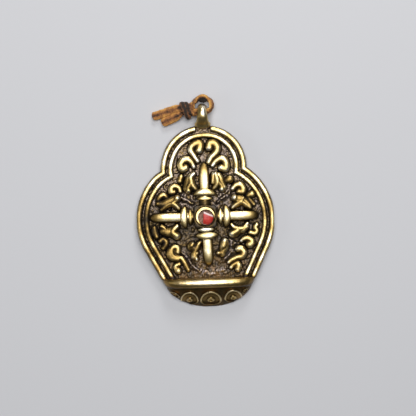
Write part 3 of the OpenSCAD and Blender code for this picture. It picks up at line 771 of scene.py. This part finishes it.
def roll(node, strokes, height, slope):
    """Strokes fused into one skin on the plate."""
    piece = new_piece(node + "_cast", bpy.data.meshes.new(node))
    edit(piece)
    shapes = [(stroke, slope, 1) for stroke in strokes]
    shapes += [(stroke, BODY_SPREAD, BODY_RISE) for stroke in BODIES.get(node, [])]
    for stroke, spread, share in shapes:
        for x, y, width in smooth_rows(stroke, BEAD_STEP, 2):
            half = (width * CREST_WIDE + spread) / 2 * MM
            rise = height * share * min(1, RISE_LEAST + RISE_GAIN * width) * MM
            bpy.ops.mesh.primitive_uv_sphere_add(
                segments=BEAD_SIDES, ring_count=BEAD_RINGS, radius=1,
                location=(x * MM, y * MM, PLATE_TOP), scale=(half, half, rise),
            )
    bpy.ops.object.mode_set(mode="OBJECT")
    fuse(piece, WAX_VOXEL)
    soften(piece, WAX_ROUNDS)
    edit(piece)
    cut = (0, 0, PLATE_TOP - SINK)
    bpy.ops.mesh.bisect(plane_co=cut, plane_no=(0, 0, 1), use_fill=True, clear_inner=True)
    bpy.ops.object.mode_set(mode="OBJECT")
    press(piece, keep=0.5, share=0.6)
    return finish_casting(piece, node, flare=0.12, uneven=0.07)


for name, strokes in SCROLL_STROKES.items():
    roll("scroll_" + name, strokes, height=2.1, slope=1.0)
for name, strokes in SIDE_PRONG_STROKES.items():
    roll("side_prong_" + name, strokes, height=2.9, slope=0.9)
tell_castings()

# %% [markdown]
# ## Plate, rims and pedestal
# The rims and the plate were cut by hand, so their outline strays a little from the drawn one, and wear has
# pressed the rims flatter. The ledge narrows towards the bowl.

# %% Recast the plate, the rims and the pedestal
# A place where the outline strays, how far around it that reaches, and the shift there, in millimetres
STRAYS = [((0, 20), 9, (0.1, -0.4)), ((-8.3, 11.2), 3, (-0.3, -0.6)), ((0, -18), 14, (0.7, 0))]
LEDGE_TAPER = 0.07


def stray(piece):
    """Shifts an outline here and there, as on one cut by hand."""
    points = points_of(piece)
    flat = points[:, :2] / MM
    for place, reach, shift in STRAYS:
        near = np.exp(-((np.linalg.norm(flat - place, axis=1) / reach) ** 2))
        points[:, :2] += near[:, None] * np.array(shift) * MM
    move_points(piece, points)


def from_top(points):
    """How far down a piece each point lies, from 0 to 1."""
    return (points[:, 1].max() - points[:, 1]) / np.ptp(points[:, 1])


for node in ("outer_rim_left", "outer_rim_right", "inner_rim"):
    rim = recast(node, voxel=0.12, swell=0.02, rounds=7, grow=0.2, uneven=0.12)
    press(rim, keep=0.4, share=0.6)
    stray(rim)
stray(recast("back_plate", voxel=0.18, swell=0.02, rounds=2, flare=0, uneven=0))
ledge = recast("pedestal_ledge", voxel=0.13, swell=0.05, rounds=24, grow=0.14, flare=0, uneven=0.02)
points = points_of(ledge)
points[:, 0] *= 1 - LEDGE_TAPER * from_top(points)
move_points(ledge, points)
stray(ledge)
stray(recast("pedestal_bowl", voxel=0.13, swell=0.05, rounds=4, flare=0))
tell_castings()

# %% [markdown]
# ## Hub and bezel
# The hub is a softly rounded block. The bezel's rim has worn away at the lower right, where the stone lies
# bare.

# %% Recast the hub and the bezel
BEZEL_WORN = math.radians(-66)
BEZEL_LOSS = 0.75 * MM


def worn_side(points):
    """How near each point lies to the worn side of the bezel, from 0 to 1."""
    return np.clip(np.cos(np.arctan2(points[:, 1], points[:, 0]) - BEZEL_WORN), 0, 1) ** 3


recast("hub_block", voxel=0.1, swell=0.02, rounds=26, grow=0.1, uneven=0.16)
bezel = recast("bezel", voxel=0.06, swell=0.02, rounds=16, flare=0)
points = points_of(bezel)
bezel_low, bezel_high = points[:, 2].min(), points[:, 2].max()
points[:, 2] -= BEZEL_LOSS * worn_side(points) * (points[:, 2] - bezel_low) / (bezel_high - bezel_low)
move_points(bezel, points)
print("bezel stands", round((bezel_high - bezel_low) / MM, 2), "mm high where it isn't worn")

# %% [markdown]
# ## Bail
# The bail's strap is crowned, so that its middle catches the light. It flares towards its foot, more
# outside than inside, and the foot's ends slope down. That leaves room for the thong to swing.

# %% Recast the bail
STRAP_HALF, FOOT_HALF = 1.05 * MM, 1.9 * MM
FLARE_FROM, FLARE, INNER_FLARE = EYE.y + 1.7 * MM, (0.052, 0.032), 0.15
BAIL_INNER, BAIL_WALL, BAIL_CROWN = 1.8 * MM, 0.9 * MM, 0.5 * MM
SLOPE_HALF, FOOT_DROP = 1.4 * MM, 0.7 * MM
BAIL_ROUNDS = 14


def flare_bail(points, outer):
    """Widens the strap towards its foot, draws the foot's ends in, and gives the share across."""
    below = np.clip((FLARE_FROM - points[:, 1]) / MM, 0, None)
    flare = (FLARE[0] * below + FLARE[1] * below**2) * (INNER_FLARE + (1 - INNER_FLARE) * outer)
    wider = np.minimum(STRAP_HALF * (1 + flare), FOOT_HALF)
    across = np.abs(points[:, 0])
    past = np.maximum(across - STRAP_HALF, 0) * (FOOT_HALF - wider) / (FOOT_HALF - STRAP_HALF)
    points[:, 0] = np.sign(points[:, 0]) * (np.minimum(across, STRAP_HALF) * wider / STRAP_HALF + past)
    return np.clip(np.abs(points[:, 0]) / wider, 0, 1)


bail = recast("bail", voxel=0.09, swell=0.02, rounds=10, flare=0)
points = points_of(bail)
from_eye = points[:, 1:] - EYE.yz
reach = np.linalg.norm(from_eye, axis=1)
outer = np.clip((reach - BAIL_INNER) / BAIL_WALL, 0, 1)
crown = BAIL_CROWN * outer * flare_bail(points, outer) ** 2
points[:, 1:] -= from_eye / reach[:, None] * crown[:, None]
slope = np.clip((np.abs(points[:, 0]) - SLOPE_HALF) / (FOOT_HALF - SLOPE_HALF), 0, 1)
points[:, 2] -= np.minimum(FOOT_DROP * slope, np.maximum(points[:, 2] - PLATE_TOP, 0))
move_points(bail, points)
soften(bail, BAIL_ROUNDS)
tell_castings()

# %% [markdown]
# ## The ground of the plate
# The ground between the scrolls was never polished: it is lumpy, and low ridges run outwards between the
# arms. The points of the plate's top are raised by a cloud pattern and along those ridges, while its back
# stays flat. A painted grey glint lies on the ridges and on the upper ground, standing in for the light they
# reflect, and an attribute keeps how strong it is.

# %% Roughen the ground
# The line of each low ridge, its width and its height, in millimetres
RIDGES = [
    ([(-2.9, 3.2), (-6, 5)], 0.6, 0.5),
    ([(3, 3.3), (5.8, 5.4)], 0.6, 0.5),
    ([(5.6, -5.7), (7.6, -6.7)], 0.6, 0.5),
    ([(6.1, -7.1), (6.6, -7)], 0.9, 0.7),
    ([(4.2, -10.3), (6, -8.7)], 0.5, 0.45),
    ([(-6, -8.4), (-5, -9.1), (-3.8, -11.3), (-2.2, -12.8)], 0.5, 0.5),
    ([(-2.2, -12.8), (0.6, -13.8), (3.9, -12.9)], 1, 0.4),
]
GROUND_LUMPS, LUMP_SIZE = 0.34, 0.7
LUMP_FALL, LUMP_STEP, LUMP_LAYERS = 1, 2, 3
DEEPEST = -0.1
TOP_WITHIN = 0.15 * MM
# Painted glint: grey on the ridges and the upper ground stands in for reflected light.
GLINT_FULL, GLINT_LOW, GLINT_HIGH, GLINT_RUN = 0.4, 0.15, 0.55, 4


def lump(x, y):
    """The height of the cloud pattern at a place."""
    return noise.fractal(Vector((x, y, 0)) / LUMP_SIZE, LUMP_FALL, LUMP_STEP, LUMP_LAYERS)


def ridge_rise(points, start, end, width, height):
    """How much a ridge lifts each point, in millimetres."""
    start, end = np.array(start), np.array(end)
    way = end - start
    share = np.clip(((points - start) @ way) / (way @ way), 0, 1)
    off = np.linalg.norm(points - start - share[:, None] * way, axis=1)
    return height * np.exp(-((off / width) ** 2) * 2)


plate = bpy.data.objects["back_plate_cast"]
points = points_of(plate)
top = points[:, 2] > PLATE_TOP - TOP_WITHIN
flat = points[top, :2] / MM
ridges = np.zeros(len(flat))
for line, width, height in RIDGES:
    ridges += np.max([ridge_rise(flat, a, b, width, height) for a, b in zip(line, line[1:])], axis=0)
rise = GROUND_LUMPS * np.array([lump(x, y) for x, y in flat]) + ridges
points[top, 2] += np.maximum(rise, DEEPEST) * MM
points[:, 2] = np.maximum(points[:, 2], 0)
move_points(plate, points)
# Painted glint: how strongly each point of the ground shows a grey painted reflection.
film = np.zeros(len(points))
upper = np.clip(flat[:, 1] / GLINT_RUN, 0, 1)
film[top] = np.clip(ridges / GLINT_FULL + GLINT_LOW + (GLINT_HIGH - GLINT_LOW) * upper, 0, 1)
keep_values(plate.data, "film", film)
print("ground raised by up to", round(float(rise.max()), 2), "mm")

# %% [markdown]
# ## Lotus petals
# The petals on the bowl are round bosses of a ring, a band and an eye. Each is spun like a turned button
# from a short profile, drawn out to the width of its place, and then draped: every point is lifted by the
# height of the bowl under it. The bowl curves away below, so the lower half is shorter. Slivers at the ends
# are all that shows of the next two.

# %% Turn and drape the petals
# The profile's radius as a share of a petal's half width, and its rise in millimetres
PETAL_PROFILE = [
    (0, 0.20), (0.10, 0.24), (0.20, 0.46), (0.29, 0.46), (0.37, 0.06), (0.60, 0.20), (0.74, 0.18),
    (0.79, 0.14), (0.86, 0.54), (0.96, 0.56), (1.03, 0.02), (1.08, -0.30),
]
PETAL_TURNS, PETAL_MERGE = 72, 0.001
RAY_FROM = 0.02
SHADED_SIDE = 0.5
# Middle across and along, half width, length above and below the middle in millimetres, and turn in degrees
PETALS = {
    "lotus_petal_1": (-7.9, -18.5, 1.3, 0.45, 0.45, -28),
    "lotus_petal_2": (-4.4, -20, 2.2, 2.2, 1.1, 0),
    "lotus_petal_3": (0.7, -20.1, 2.6, 2.3, 1.3, 0),
    "lotus_petal_4": (6.1, -19.8, 2.2, 2.2, 1, 0),
    "lotus_petal_5": (8.9, -18.1, 0.75, 0.35, 0.35, 45),
}
bowl = bpy.data.objects["pedestal_bowl_cast"]


def spin_profile(node):
    """A round boss with a radius of about 1, spun from the profile."""
    mesh = bpy.data.meshes.new(node)
    edges = [(i, i + 1) for i in range(len(PETAL_PROFILE) - 1)]
    mesh.from_pydata([(r, 0, h * MM) for r, h in PETAL_PROFILE], edges, [])
    piece = new_piece(node + "_cast", mesh)
    edit(piece)
    bpy.ops.mesh.spin(steps=PETAL_TURNS, angle=2 * math.pi, center=(0, 0, 0), axis=(0, 0, 1))
    bpy.ops.mesh.select_all(action="SELECT")
    bpy.ops.mesh.remove_doubles(threshold=PETAL_MERGE)
    bpy.ops.mesh.subdivide(number_cuts=1, smoothness=0)
    bpy.ops.mesh.normals_make_consistent(inside=False)
    bpy.ops.object.mode_set(mode="OBJECT")
    return piece


def turn_petal(node, x, y, wide, above, below, degrees):
    """A boss of rings that lies on the bowl."""
    piece = spin_profile(node)
    points = points_of(piece)
    # Painted shade: the rise is lowered on the petal's lower half, which is kept darker.
    keep_values(piece.data, "rise", points[:, 2] / MM - SHADED_SIDE * np.clip(-points[:, 1], 0, 1))
    lengths = np.where(points[:, 1] > 0, above, below)
    flat = points[:, :2] * np.stack([np.full(len(points), wide), lengths], 1)
    c, s = math.cos(math.radians(degrees)), math.sin(math.radians(degrees))
    points[:, :2] = (np.array((x, y)) + flat @ np.array([[c, s], [-s, c]])) * MM
    for point in points:
        hit, place, *_ = bowl.ray_cast((point[0], point[1], RAY_FROM), (0, 0, -1))
        if hit:
            point[2] += place.z
        else:
            point[:] = bowl.closest_point_on_mesh((point[0], point[1], 0))[1]
    move_points(piece, points)
    return finish_casting(piece, node, flare=0, uneven=0.04)


for node, sizes in PETALS.items():
    turn_petal(node, *sizes)
print("petals:", len(PETALS))

# %% [markdown]
# ## Heights of the relief
# Hands polish the crests, and dirt stays in the hollows. To paint that, a point is compared with the mean
# height of the relief around it: above the mean it is a crest, below it a hollow. The mean comes from a
# height map of all the castings, blurred over about a millimetre.

# %% Measure the heights
CELL = 0.12 * MM
BLUR_CELLS = 9
low, high = (np.array(corner) for corner in cad_box)
shape = np.ceil((high - low)[:2] / CELL).astype(int) + 1


def cells_of(points):
    """The cell of the height map that each point falls in."""
    return tuple(np.clip(((points[:, :2] - low[:2]) / CELL).astype(int), 0, shape - 1).T)


def widest(grid):
    """Each cell's greatest neighbour, to fill the cells that no point fell in."""
    tall = np.maximum(np.maximum(grid, np.roll(grid, 1, 0)), np.roll(grid, -1, 0))
    return np.maximum(np.maximum(tall, np.roll(tall, 1, 1)), np.roll(tall, -1, 1))


def blurred(grid, cells):
    """A grid whose cells are means of those around them, taken twice along each side."""
    for axis in (0, 1):
        for _ in range(2):
            padded = np.concatenate([np.zeros_like(grid.take([0], axis)), np.cumsum(grid, axis)], axis)
            count = grid.shape[axis]
            ahead = np.minimum(np.arange(count) + cells // 2 + 1, count)
            behind = np.maximum(np.arange(count) - cells // 2, 0)
            grid = (padded.take(ahead, axis) - padded.take(behind, axis)) / cells
    return grid


heights = np.zeros(shape)
for piece in castings:
    points = np.clip(points_of(piece), low, high)
    move_points(piece, points)
    np.maximum.at(heights, cells_of(points), points[:, 2])
heights = np.where(heights > 0, heights, widest(widest(heights)))
heights = np.where(heights > 0, heights, PLATE_TOP)
mean = blurred(heights, BLUR_CELLS)
print("height map", tuple(shape), "highest", round(float(heights.max()) / MM, 2), "mm")

# %% [markdown]
# ## Where the brass is worn, and where light and shade are painted
# Every casting keeps an attribute that goes from 0 in a black hollow to 1 on a bright crest, and it carries
# painted light and shade as well as wear. On the scrolls, the side prongs and the rims it follows the height
# map. A slope is painted darker than a level place, as painted shade, and here and there the brass is made
# darker or brighter.

# %% Wear the scrolls, the side prongs and the rims, and paint shade on their slopes
CREST_MEAN, CREST_SPAN = 0.55, 0.9 * MM
SLOPE_SHADE = 0.4
UNDERSIDE, UNDERSIDE_CREST = -0.3, 0.5
RIM_DULL = 0.12
# A place where the brass is made darker, how far around it that reaches in millimetres, and the loss of
# crest. A negative loss makes the place brighter.
TONE_SPOTS = [
    ((-12.4, -3.3), 1.8, 0.08), ((-10.4, -6.3), 1.6, 0.25), ((-11.2, -2), 1.5, 0.15),
    ((-11.4, 2.6), 2, 0.35), ((-5.7, 9), 1, 0.15), ((5.9, 8.5), 1.1, 0.2), ((-4.3, 7.8), 1.3, 0.15),
    ((11.6, 3.2), 1.6, 0.05), ((13, 1.3), 1.6, 0.3), ((-3.2, -7.4), 1.6, 0.2), ((3.2, -9), 1.2, 0.25),
    ((-4.7, -12.6), 1.4, 0.25), ((-16, 0), 6, 0.2), ((-14, -0.5), 3, 0.2), ((16.2, 0), 5, 0.12),
    ((-13, -10.5), 5, 0.12), ((0, 19), 3, 0.2), ((0, 14), 6, -0.15),
]


def facing_up(piece):
    """How much the skin faces up at each point: 1 on a level place, 0 on a wall, less on an underside."""
    flat = np.empty(len(piece.data.vertices) * 3, np.float32)
    piece.data.vertices.foreach_get("normal", flat)
    return flat.reshape(-1, 3)[:, 2]


def relief_crest(piece, points):
    """Crests and hollows from the height map, with painted shade on the slopes and the darker and brighter
    places.
    """
    level = facing_up(piece)
    crest = np.minimum(CREST_MEAN + (points[:, 2] - mean[cells_of(points)]) / CREST_SPAN, 1)
    # Painted shade: a slope is made darker than a level place.
    crest -= SLOPE_SHADE * (1 - level)
    crest = np.where(level < UNDERSIDE, UNDERSIDE_CREST, crest)
    for place, reach, loss in TONE_SPOTS:
        away = np.linalg.norm(points[:, :2] / MM - place, axis=1)
        crest -= loss * np.exp(-((away / reach) ** 2))
    return crest


def rim_crest(piece, points):
    """A rim is a little duller than the relief."""
    return relief_crest(piece, points) - RIM_DULL


def give_crests(starts, crest_of):
    """Works out the crests of the castings whose names start so, keeps them, and counts the castings."""
    chosen = [c for c in castings if c.name.startswith(starts)]
    for piece in chosen:
        keep_values(piece.data, "crest", np.clip(crest_of(piece, points_of(piece)), 0, 1))
    return len(chosen)


castings_toned = give_crests(("scroll", "side_prong"), relief_crest)
castings_toned += give_crests(("outer_rim", "inner_rim"), rim_crest)
print("castings with crests:", castings_toned)

# %% [markdown]
# ## Wear and painted light on the flat pieces
# The ground is dull, brighter where it is raised, and painted brighter high on the pendant as painted light.
# The hub darkens outwards, and the bezel is painted darker on its flank, as painted shade, and is darker
# where it has worn away.

# %% Wear and paint light and shade on the plate, the hub and the bezel
FLOOR_CREST, FLOOR_UPPER, UPPER_RUN = 0.33, 0.12, 8 * MM
GROUND_WEAR = 0.3
EDGE_BELOW, EDGE_CREST = 0.3 * MM, 0.55
HUB_CREST, HUB_SHADE, HUB_BRIGHT = 0.42, 0.32, 2.3 * MM
BEZEL_DULL, FLANK_SHADE, FLANK_FROM = 0.6, 0.7, 0.45


def ground_crest(piece, points):
    """The plate's top by its height, painted lighter towards the top, and its edge and back all alike."""
    ground = FLOOR_CREST + GROUND_WEAR * (points[:, 2] - PLATE_TOP) / MM
    # Painted light: the ground grows brighter towards the top of the pendant.
    ground += FLOOR_UPPER * np.clip(points[:, 1] / UPPER_RUN, 0, 1)
    return np.where(points[:, 2] > PLATE_TOP - EDGE_BELOW, ground, EDGE_CREST)


def hub_crest(piece, points):
    """The hub by the distance from its middle."""
    reach = np.linalg.norm(points[:, :2], axis=1)
    return HUB_CREST - HUB_SHADE * np.clip((reach - HUB_BRIGHT) / MM, 0, 1)


def bezel_crest(piece, points):
    """The relief's crests, less on the worn side, and less on the flank as painted shade."""
    span = np.linalg.norm(points[:, :2], axis=1)
    flank = np.clip((span - span.min()) / np.ptp(span) - FLANK_FROM, 0, 1)
    # Painted shade: the outer flank of the bezel is darker.
    return relief_crest(piece, points) - (BEZEL_DULL * worn_side(points) + FLANK_SHADE * flank)


castings_toned += give_crests("back_plate", ground_crest)
castings_toned += give_crests("hub_block", hub_crest)
castings_toned += give_crests("bezel", bezel_crest)
print("castings with crests:", castings_toned)

# %% [markdown]
# ## Wear and painted shade on the arms
# Prongs, collars and neck rings are the brightest pieces. They carry painted shade on their slopes and next
# to the hub, the rings are painted darker towards their ends as painted shade, and the prongs darken towards
# their tips.

# %% Wear the arms and paint their shade
ARM_CREST = 0.78
NECK_RING_CREST = {"top": 0.72, "left": 0.63, "right": 0.78, "bottom": 0.9}
NECK_SHADE, NECK_EASE = 0.4, 0.3 * MM
NECK_WITHIN = {"top": 4.1 * MM, "left": 3.3 * MM, "right": 3.3 * MM, "bottom": 2.8 * MM}
RING_END_SHADE = 0.35
PRONG_FADE, FADE_FROM, FADE_TO = 0.3, 9.5 * MM, 13 * MM


def arm_crest(piece, points):
    """A prong, collar or neck ring by its slope and its place on the arm."""
    arm = piece.name.split("_")[-2]
    along, across = axes_of(arm)
    crest = NECK_RING_CREST[arm] if piece.name.startswith("neck_ring") else ARM_CREST
    # Painted shade: a slope is made darker than a level place.
    crest = crest - SLOPE_SHADE * (1 - facing_up(piece))
    # Painted shade next to the hub.
    crest -= NECK_SHADE * np.clip((NECK_WITHIN[arm] - np.abs(points[:, along])) / NECK_EASE, 0, 1)
    if piece.name.startswith("prong"):
        reach = np.abs(points[:, :2]).max(1)
        crest -= PRONG_FADE * np.clip((reach - FADE_FROM) / (FADE_TO - FADE_FROM), 0, 1)
    else:
        middle = (points[:, across].min() + points[:, across].max()) / 2
        # Painted shade towards the ends of a ring.
        crest -= RING_END_SHADE * ((points[:, across] - middle) / np.ptp(points[:, across]) * 2) ** 4
    return crest


castings_toned += give_crests(("neck_ring", "lotus_collar", "prong"), arm_crest)
print("castings with crests:", castings_toned)

# %% [markdown]
# ## Wear and painted light on the pedestal and the bail
# The bowl is dark and the rings of its petals are bright, with painted shade on their lower halves. The ledge
# has a painted highlight a little above its middle and painted shade towards its ends. A painted highlight
# runs over the bail as a bright streak, and its foot is painted lighter.

# %% Wear and paint light on the pedestal and the bail
BOWL_CREST = 0.35
PETAL_CREST, PETAL_RISE_GAIN = 0.38, 0.7
LEDGE_CREST, LEDGE_MIDDLE, LEDGE_SHADE, LEDGE_END = 0.84, 0.37, 1.0, 0.4
BAIL_CREST, BAIL_STREAK = 0.56, 0.4
STREAK_X, STREAK_HALF = 0.35 * MM, 0.6 * MM
FOOT_PAINTED_LIGHT, FOOT_RUN = 0.14, 2 * MM


def bowl_crest(piece, points):
    """The bowl, all alike."""
    return np.full(len(points), BOWL_CREST)


def petal_crest(piece, points):
    """A petal by the rise of its profile, with painted shade on its lower half."""
    return PETAL_CREST + PETAL_RISE_GAIN * kept_values(piece.data, "rise")


def ledge_crest(piece, points):
    """The ledge with a painted highlight along its brightest line, and painted shade towards its ends."""
    # Painted highlight a little above the middle, and painted shade towards the ends.
    crest = LEDGE_CREST - LEDGE_SHADE * (from_top(points) - LEDGE_MIDDLE) ** 2
    return crest - LEDGE_END * (points[:, 0] / points[:, 0].max()) ** 2


def bail_crest(piece, points):
    """The bail, with a painted highlight as its streak and a foot painted brighter."""
    # Painted highlight: a bright streak along the strap.
    streak = np.exp(-(((points[:, 0] - STREAK_X) / STREAK_HALF) ** 2))
    streak *= np.clip((points[:, 1] - EYE.y) / MM + 1, 0, 1)
    # Painted light: the foot is made brighter.
    foot = np.clip((EYE.y - points[:, 1]) / FOOT_RUN, 0, 1)
    return BAIL_CREST + BAIL_STREAK * streak + FOOT_PAINTED_LIGHT * foot


castings_toned += give_crests("pedestal_bowl", bowl_crest)
castings_toned += give_crests("lotus_petal", petal_crest)
castings_toned += give_crests("pedestal_ledge", ledge_crest)
castings_toned += give_crests("bail", bail_crest)
print("castings with crests:", castings_toned, "of", len(castings))

# %% [markdown]
# ## Old brass
# The colour follows the crests, which carry wear and painted light: nearly black in the hollows, bronze on
# the slopes where shade is painted, pale gold where it is worn and where highlights are painted. Noise breaks
# up the borders, and the worn parts are smoother. A reddish brown comes and goes low on the pendant, grey
# dust lies in the hollows, and the same grey is painted on the ground's ridges as a painted glint.

# %% Brass finish
BLOTCH_SHARE, GRAIN_SHARE, WEAR_SHIFT = 0.36, 0.16, -0.08
RUST_FALL, RUST_SHIFT, RUST_SHARE = -per_mm(0.045), -0.25, 0.7
HOLLOW_FALL, HOLLOW_SHIFT = -3.0, 1.4
DUST_SHARE, GLINT_SHARE = 0.12, 0.7
RUST_BROWN, DUST_AND_GLINT_GREY = (0.16, 0.055, 0.020, 1), (0.34, 0.29, 0.29, 1)
BLACK, WHITE = (0, 0, 0), (1, 1, 1)
BRASS_TONES = [
    (0.0, (0.010, 0.007, 0.004)), (0.28, (0.042, 0.028, 0.010)), (0.45, (0.16, 0.10, 0.030)),
    (0.60, (0.42, 0.28, 0.09)), (0.74, (0.74, 0.57, 0.26)), (0.90, (0.98, 0.92, 0.74)),
]
BRASS_METAL = [(0.12, (0.3, 0.3, 0.3)), (0.45, WHITE)]
BRASS_ROUGH = [(0.0, (0.38,) * 3), (0.5, (0.40,) * 3), (0.9, (0.34,) * 3)]
brass = Paint("old_brass")
blotch = brass.noise(per_mm(0.55), detail=4.0, rough=0.6)
grain = brass.noise(per_mm(5), detail=3.0, rough=0.6)
wear_and_light = brass.math("MULTIPLY_ADD", blotch, BLOTCH_SHARE, -BLOTCH_SHARE / 2)
wear_and_light = brass.math("MULTIPLY_ADD", grain, GRAIN_SHARE, wear_and_light)
wear_and_light = brass.math("ADD", wear_and_light, brass.attribute("crest"))
wear_and_light = brass.math("ADD", wear_and_light, WEAR_SHIFT, clamp=True)
upward = brass.add("ShaderNodeSeparateXYZ", {0: brass.place}).outputs["Y"]
lower = brass.math("MULTIPLY_ADD", upward, RUST_FALL, RUST_SHIFT, clamp=True)
rust = brass.math("MULTIPLY", brass.ramp(blotch, [(0.45, BLACK), (0.68, WHITE)]), lower)
rust = brass.math("MULTIPLY", rust, RUST_SHARE)
hollow = brass.math("MULTIPLY_ADD", brass.attribute("crest"), HOLLOW_FALL, HOLLOW_SHIFT, clamp=True)
grey = brass.noise(per_mm(1.4), detail=4.0, rough=0.65)
dust_and_glint = brass.math("MULTIPLY", brass.ramp(grey, [(0.48, BLACK), (0.66, WHITE)]), hollow)
# Painted glint: the grey on the ridges and the upper ground is a painted reflection.
film = brass.math("MULTIPLY", brass.ramp(grey, [(0.36, BLACK), (0.56, WHITE)]), brass.attribute("film"))
film = brass.math("MULTIPLY", film, GLINT_SHARE)
dust_and_glint = brass.math("MULTIPLY_ADD", dust_and_glint, DUST_SHARE, film, clamp=True)
gold = brass.mix(dust_and_glint, brass.ramp(wear_and_light, BRASS_TONES), DUST_AND_GLINT_GREY)
brass.set(
    Base_Color=brass.mix(rust, gold, RUST_BROWN),
    Metallic=brass.ramp(wear_and_light, BRASS_METAL),
    Roughness=brass.ramp(wear_and_light, BRASS_ROUGH),
    Specular_IOR_Level=0.3,
)
brass.bump(grain, strength=0.25, depth=0.05 * MM)
for piece in castings:
    piece.data.materials.append(brass.material)
print("brass on", len(castings), "castings")

# %% [markdown]
# ## The stone and its cement
# A part of the red stone has broken away and shows the brown cement that held it. What is left is a low
# dome, cut by three breaks and chipped along the upper one, where a pale painted highlight also lies, and the
# cement is a crumbled bed beside it.

# %% Shape the stone
STONE_R = 1.82 * MM
STONE_SIDES, STONE_RINGS = 48, 24
STONE_VOXEL, STONE_ROUNDS, STONE_GRIT = 0.05, 2, 0.1
stone_low, stone_high = (corner.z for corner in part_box("stone"))
STONE_FOOT = Vector((0.12 * MM, -0.22 * MM, stone_low))
# The way each break faces, and how far it lies from the middle of the stone's foot
BREAKS = [((-1, 0.06, 0.1), 0.62 * MM), ((0.4, 0.92, 0.1), 1.1 * MM), ((0.25, 0.58, 1), 1.12 * MM)]
bpy.ops.object.select_all(action="DESELECT")
bpy.ops.mesh.primitive_uv_sphere_add(segments=STONE_SIDES, ring_count=STONE_RINGS, radius=1)
stone = bpy.context.object
stone.name = "stone_broken"
edit(stone)
bpy.ops.transform.resize(value=(STONE_R, STONE_R, stone_high - stone_low))
bpy.ops.transform.translate(value=STONE_FOOT)
bpy.ops.mesh.bisect(plane_co=(0, 0, stone_low), plane_no=(0, 0, 1), use_fill=True, clear_inner=True)
for facing, reach in BREAKS:
    facing = Vector(facing).normalized()
    bpy.ops.mesh.select_all(action="SELECT")
    cut = STONE_FOOT + facing * reach
    bpy.ops.mesh.bisect(plane_co=cut, plane_no=facing, use_fill=True, clear_outer=True)
bpy.ops.object.mode_set(mode="OBJECT")
fuse(stone, STONE_VOXEL)
soften(stone, STONE_ROUNDS)
roughen(stone, GRIT, STONE_GRIT)
move_points(stone, np.clip(points_of(stone), low, high))
print("stone faces", len(stone.data.polygons))

# %% Shape the cement
CEMENT_VOXEL, CEMENT_ROUNDS, CEMENT_GRIT = 0.06, 2, 0.2
cement = copy_of("cement", "cement_crumbled")
fuse(cement, CEMENT_VOXEL)
soften(cement, CEMENT_ROUNDS)
roughen(cement, GRIT, CEMENT_GRIT)
for piece, node in ((stone, "stone"), (cement, "cement")):
    choose(piece)
    bpy.ops.object.shade_smooth()
    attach(piece, "pendant")
    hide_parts(node)
print("cement faces", len(cement.data.polygons))

# %% Chip the stone's upper break and paint a highlight along it
CHIP_AND_HIGHLIGHT_WIDE, CHIP_AND_HIGHLIGHT_LEVEL = 0.32 * MM, 0.35
facing, reach = BREAKS[1]
inside = reach - (points_of(stone) - np.array(STONE_FOOT)) @ np.array(Vector(facing).normalized())
level = np.array([v.normal.z for v in stone.data.vertices])
# The pale band is a fresh chip and also a painted highlight on the upward-facing edge of the break.
chip = np.exp(-((inside / CHIP_AND_HIGHLIGHT_WIDE) ** 4)) * (level > CHIP_AND_HIGHLIGHT_LEVEL)
keep_values(stone.data, "chip", chip)
print("chipped points:", int((chip > 0.5).sum()), "of", len(chip))

# %% Stone and cement finishes
STONE_TONES = [(0.25, (0.34, 0.016, 0.013)), (0.5, (0.58, 0.036, 0.025)), (0.75, (0.72, 0.10, 0.07))]
CEMENT_TONES = [(0.3, (0.07, 0.04, 0.026)), (0.5, (0.25, 0.14, 0.095)), (0.7, (0.46, 0.29, 0.22))]
CHIP_AND_HIGHLIGHT_PINK = (0.90, 0.74, 0.72, 1)
red = Paint("red_stone")
body = red.ramp(red.noise(per_mm(0.9), detail=4.0, rough=0.6), STONE_TONES)
red.set(
    # Pale chip colour that is also a painted highlight.
    Base_Color=red.mix(red.attribute("chip"), body, CHIP_AND_HIGHLIGHT_PINK),
    Roughness=0.46, Coat_Weight=0.1, Coat_Roughness=0.25,
)
red.bump(red.noise(per_mm(4)), strength=0.3, depth=0.05 * MM)
stone.data.materials.append(red.material)
bed = Paint("brown_cement")
crumb = bed.noise(per_mm(3), detail=4.0, rough=0.7)
bed.set(Base_Color=bed.ramp(crumb, CEMENT_TONES), Roughness=0.9)
bed.bump(crumb, strength=0.8, depth=0.1 * MM)
cement.data.materials.append(bed.material)
print("materials:", len(bpy.data.materials))
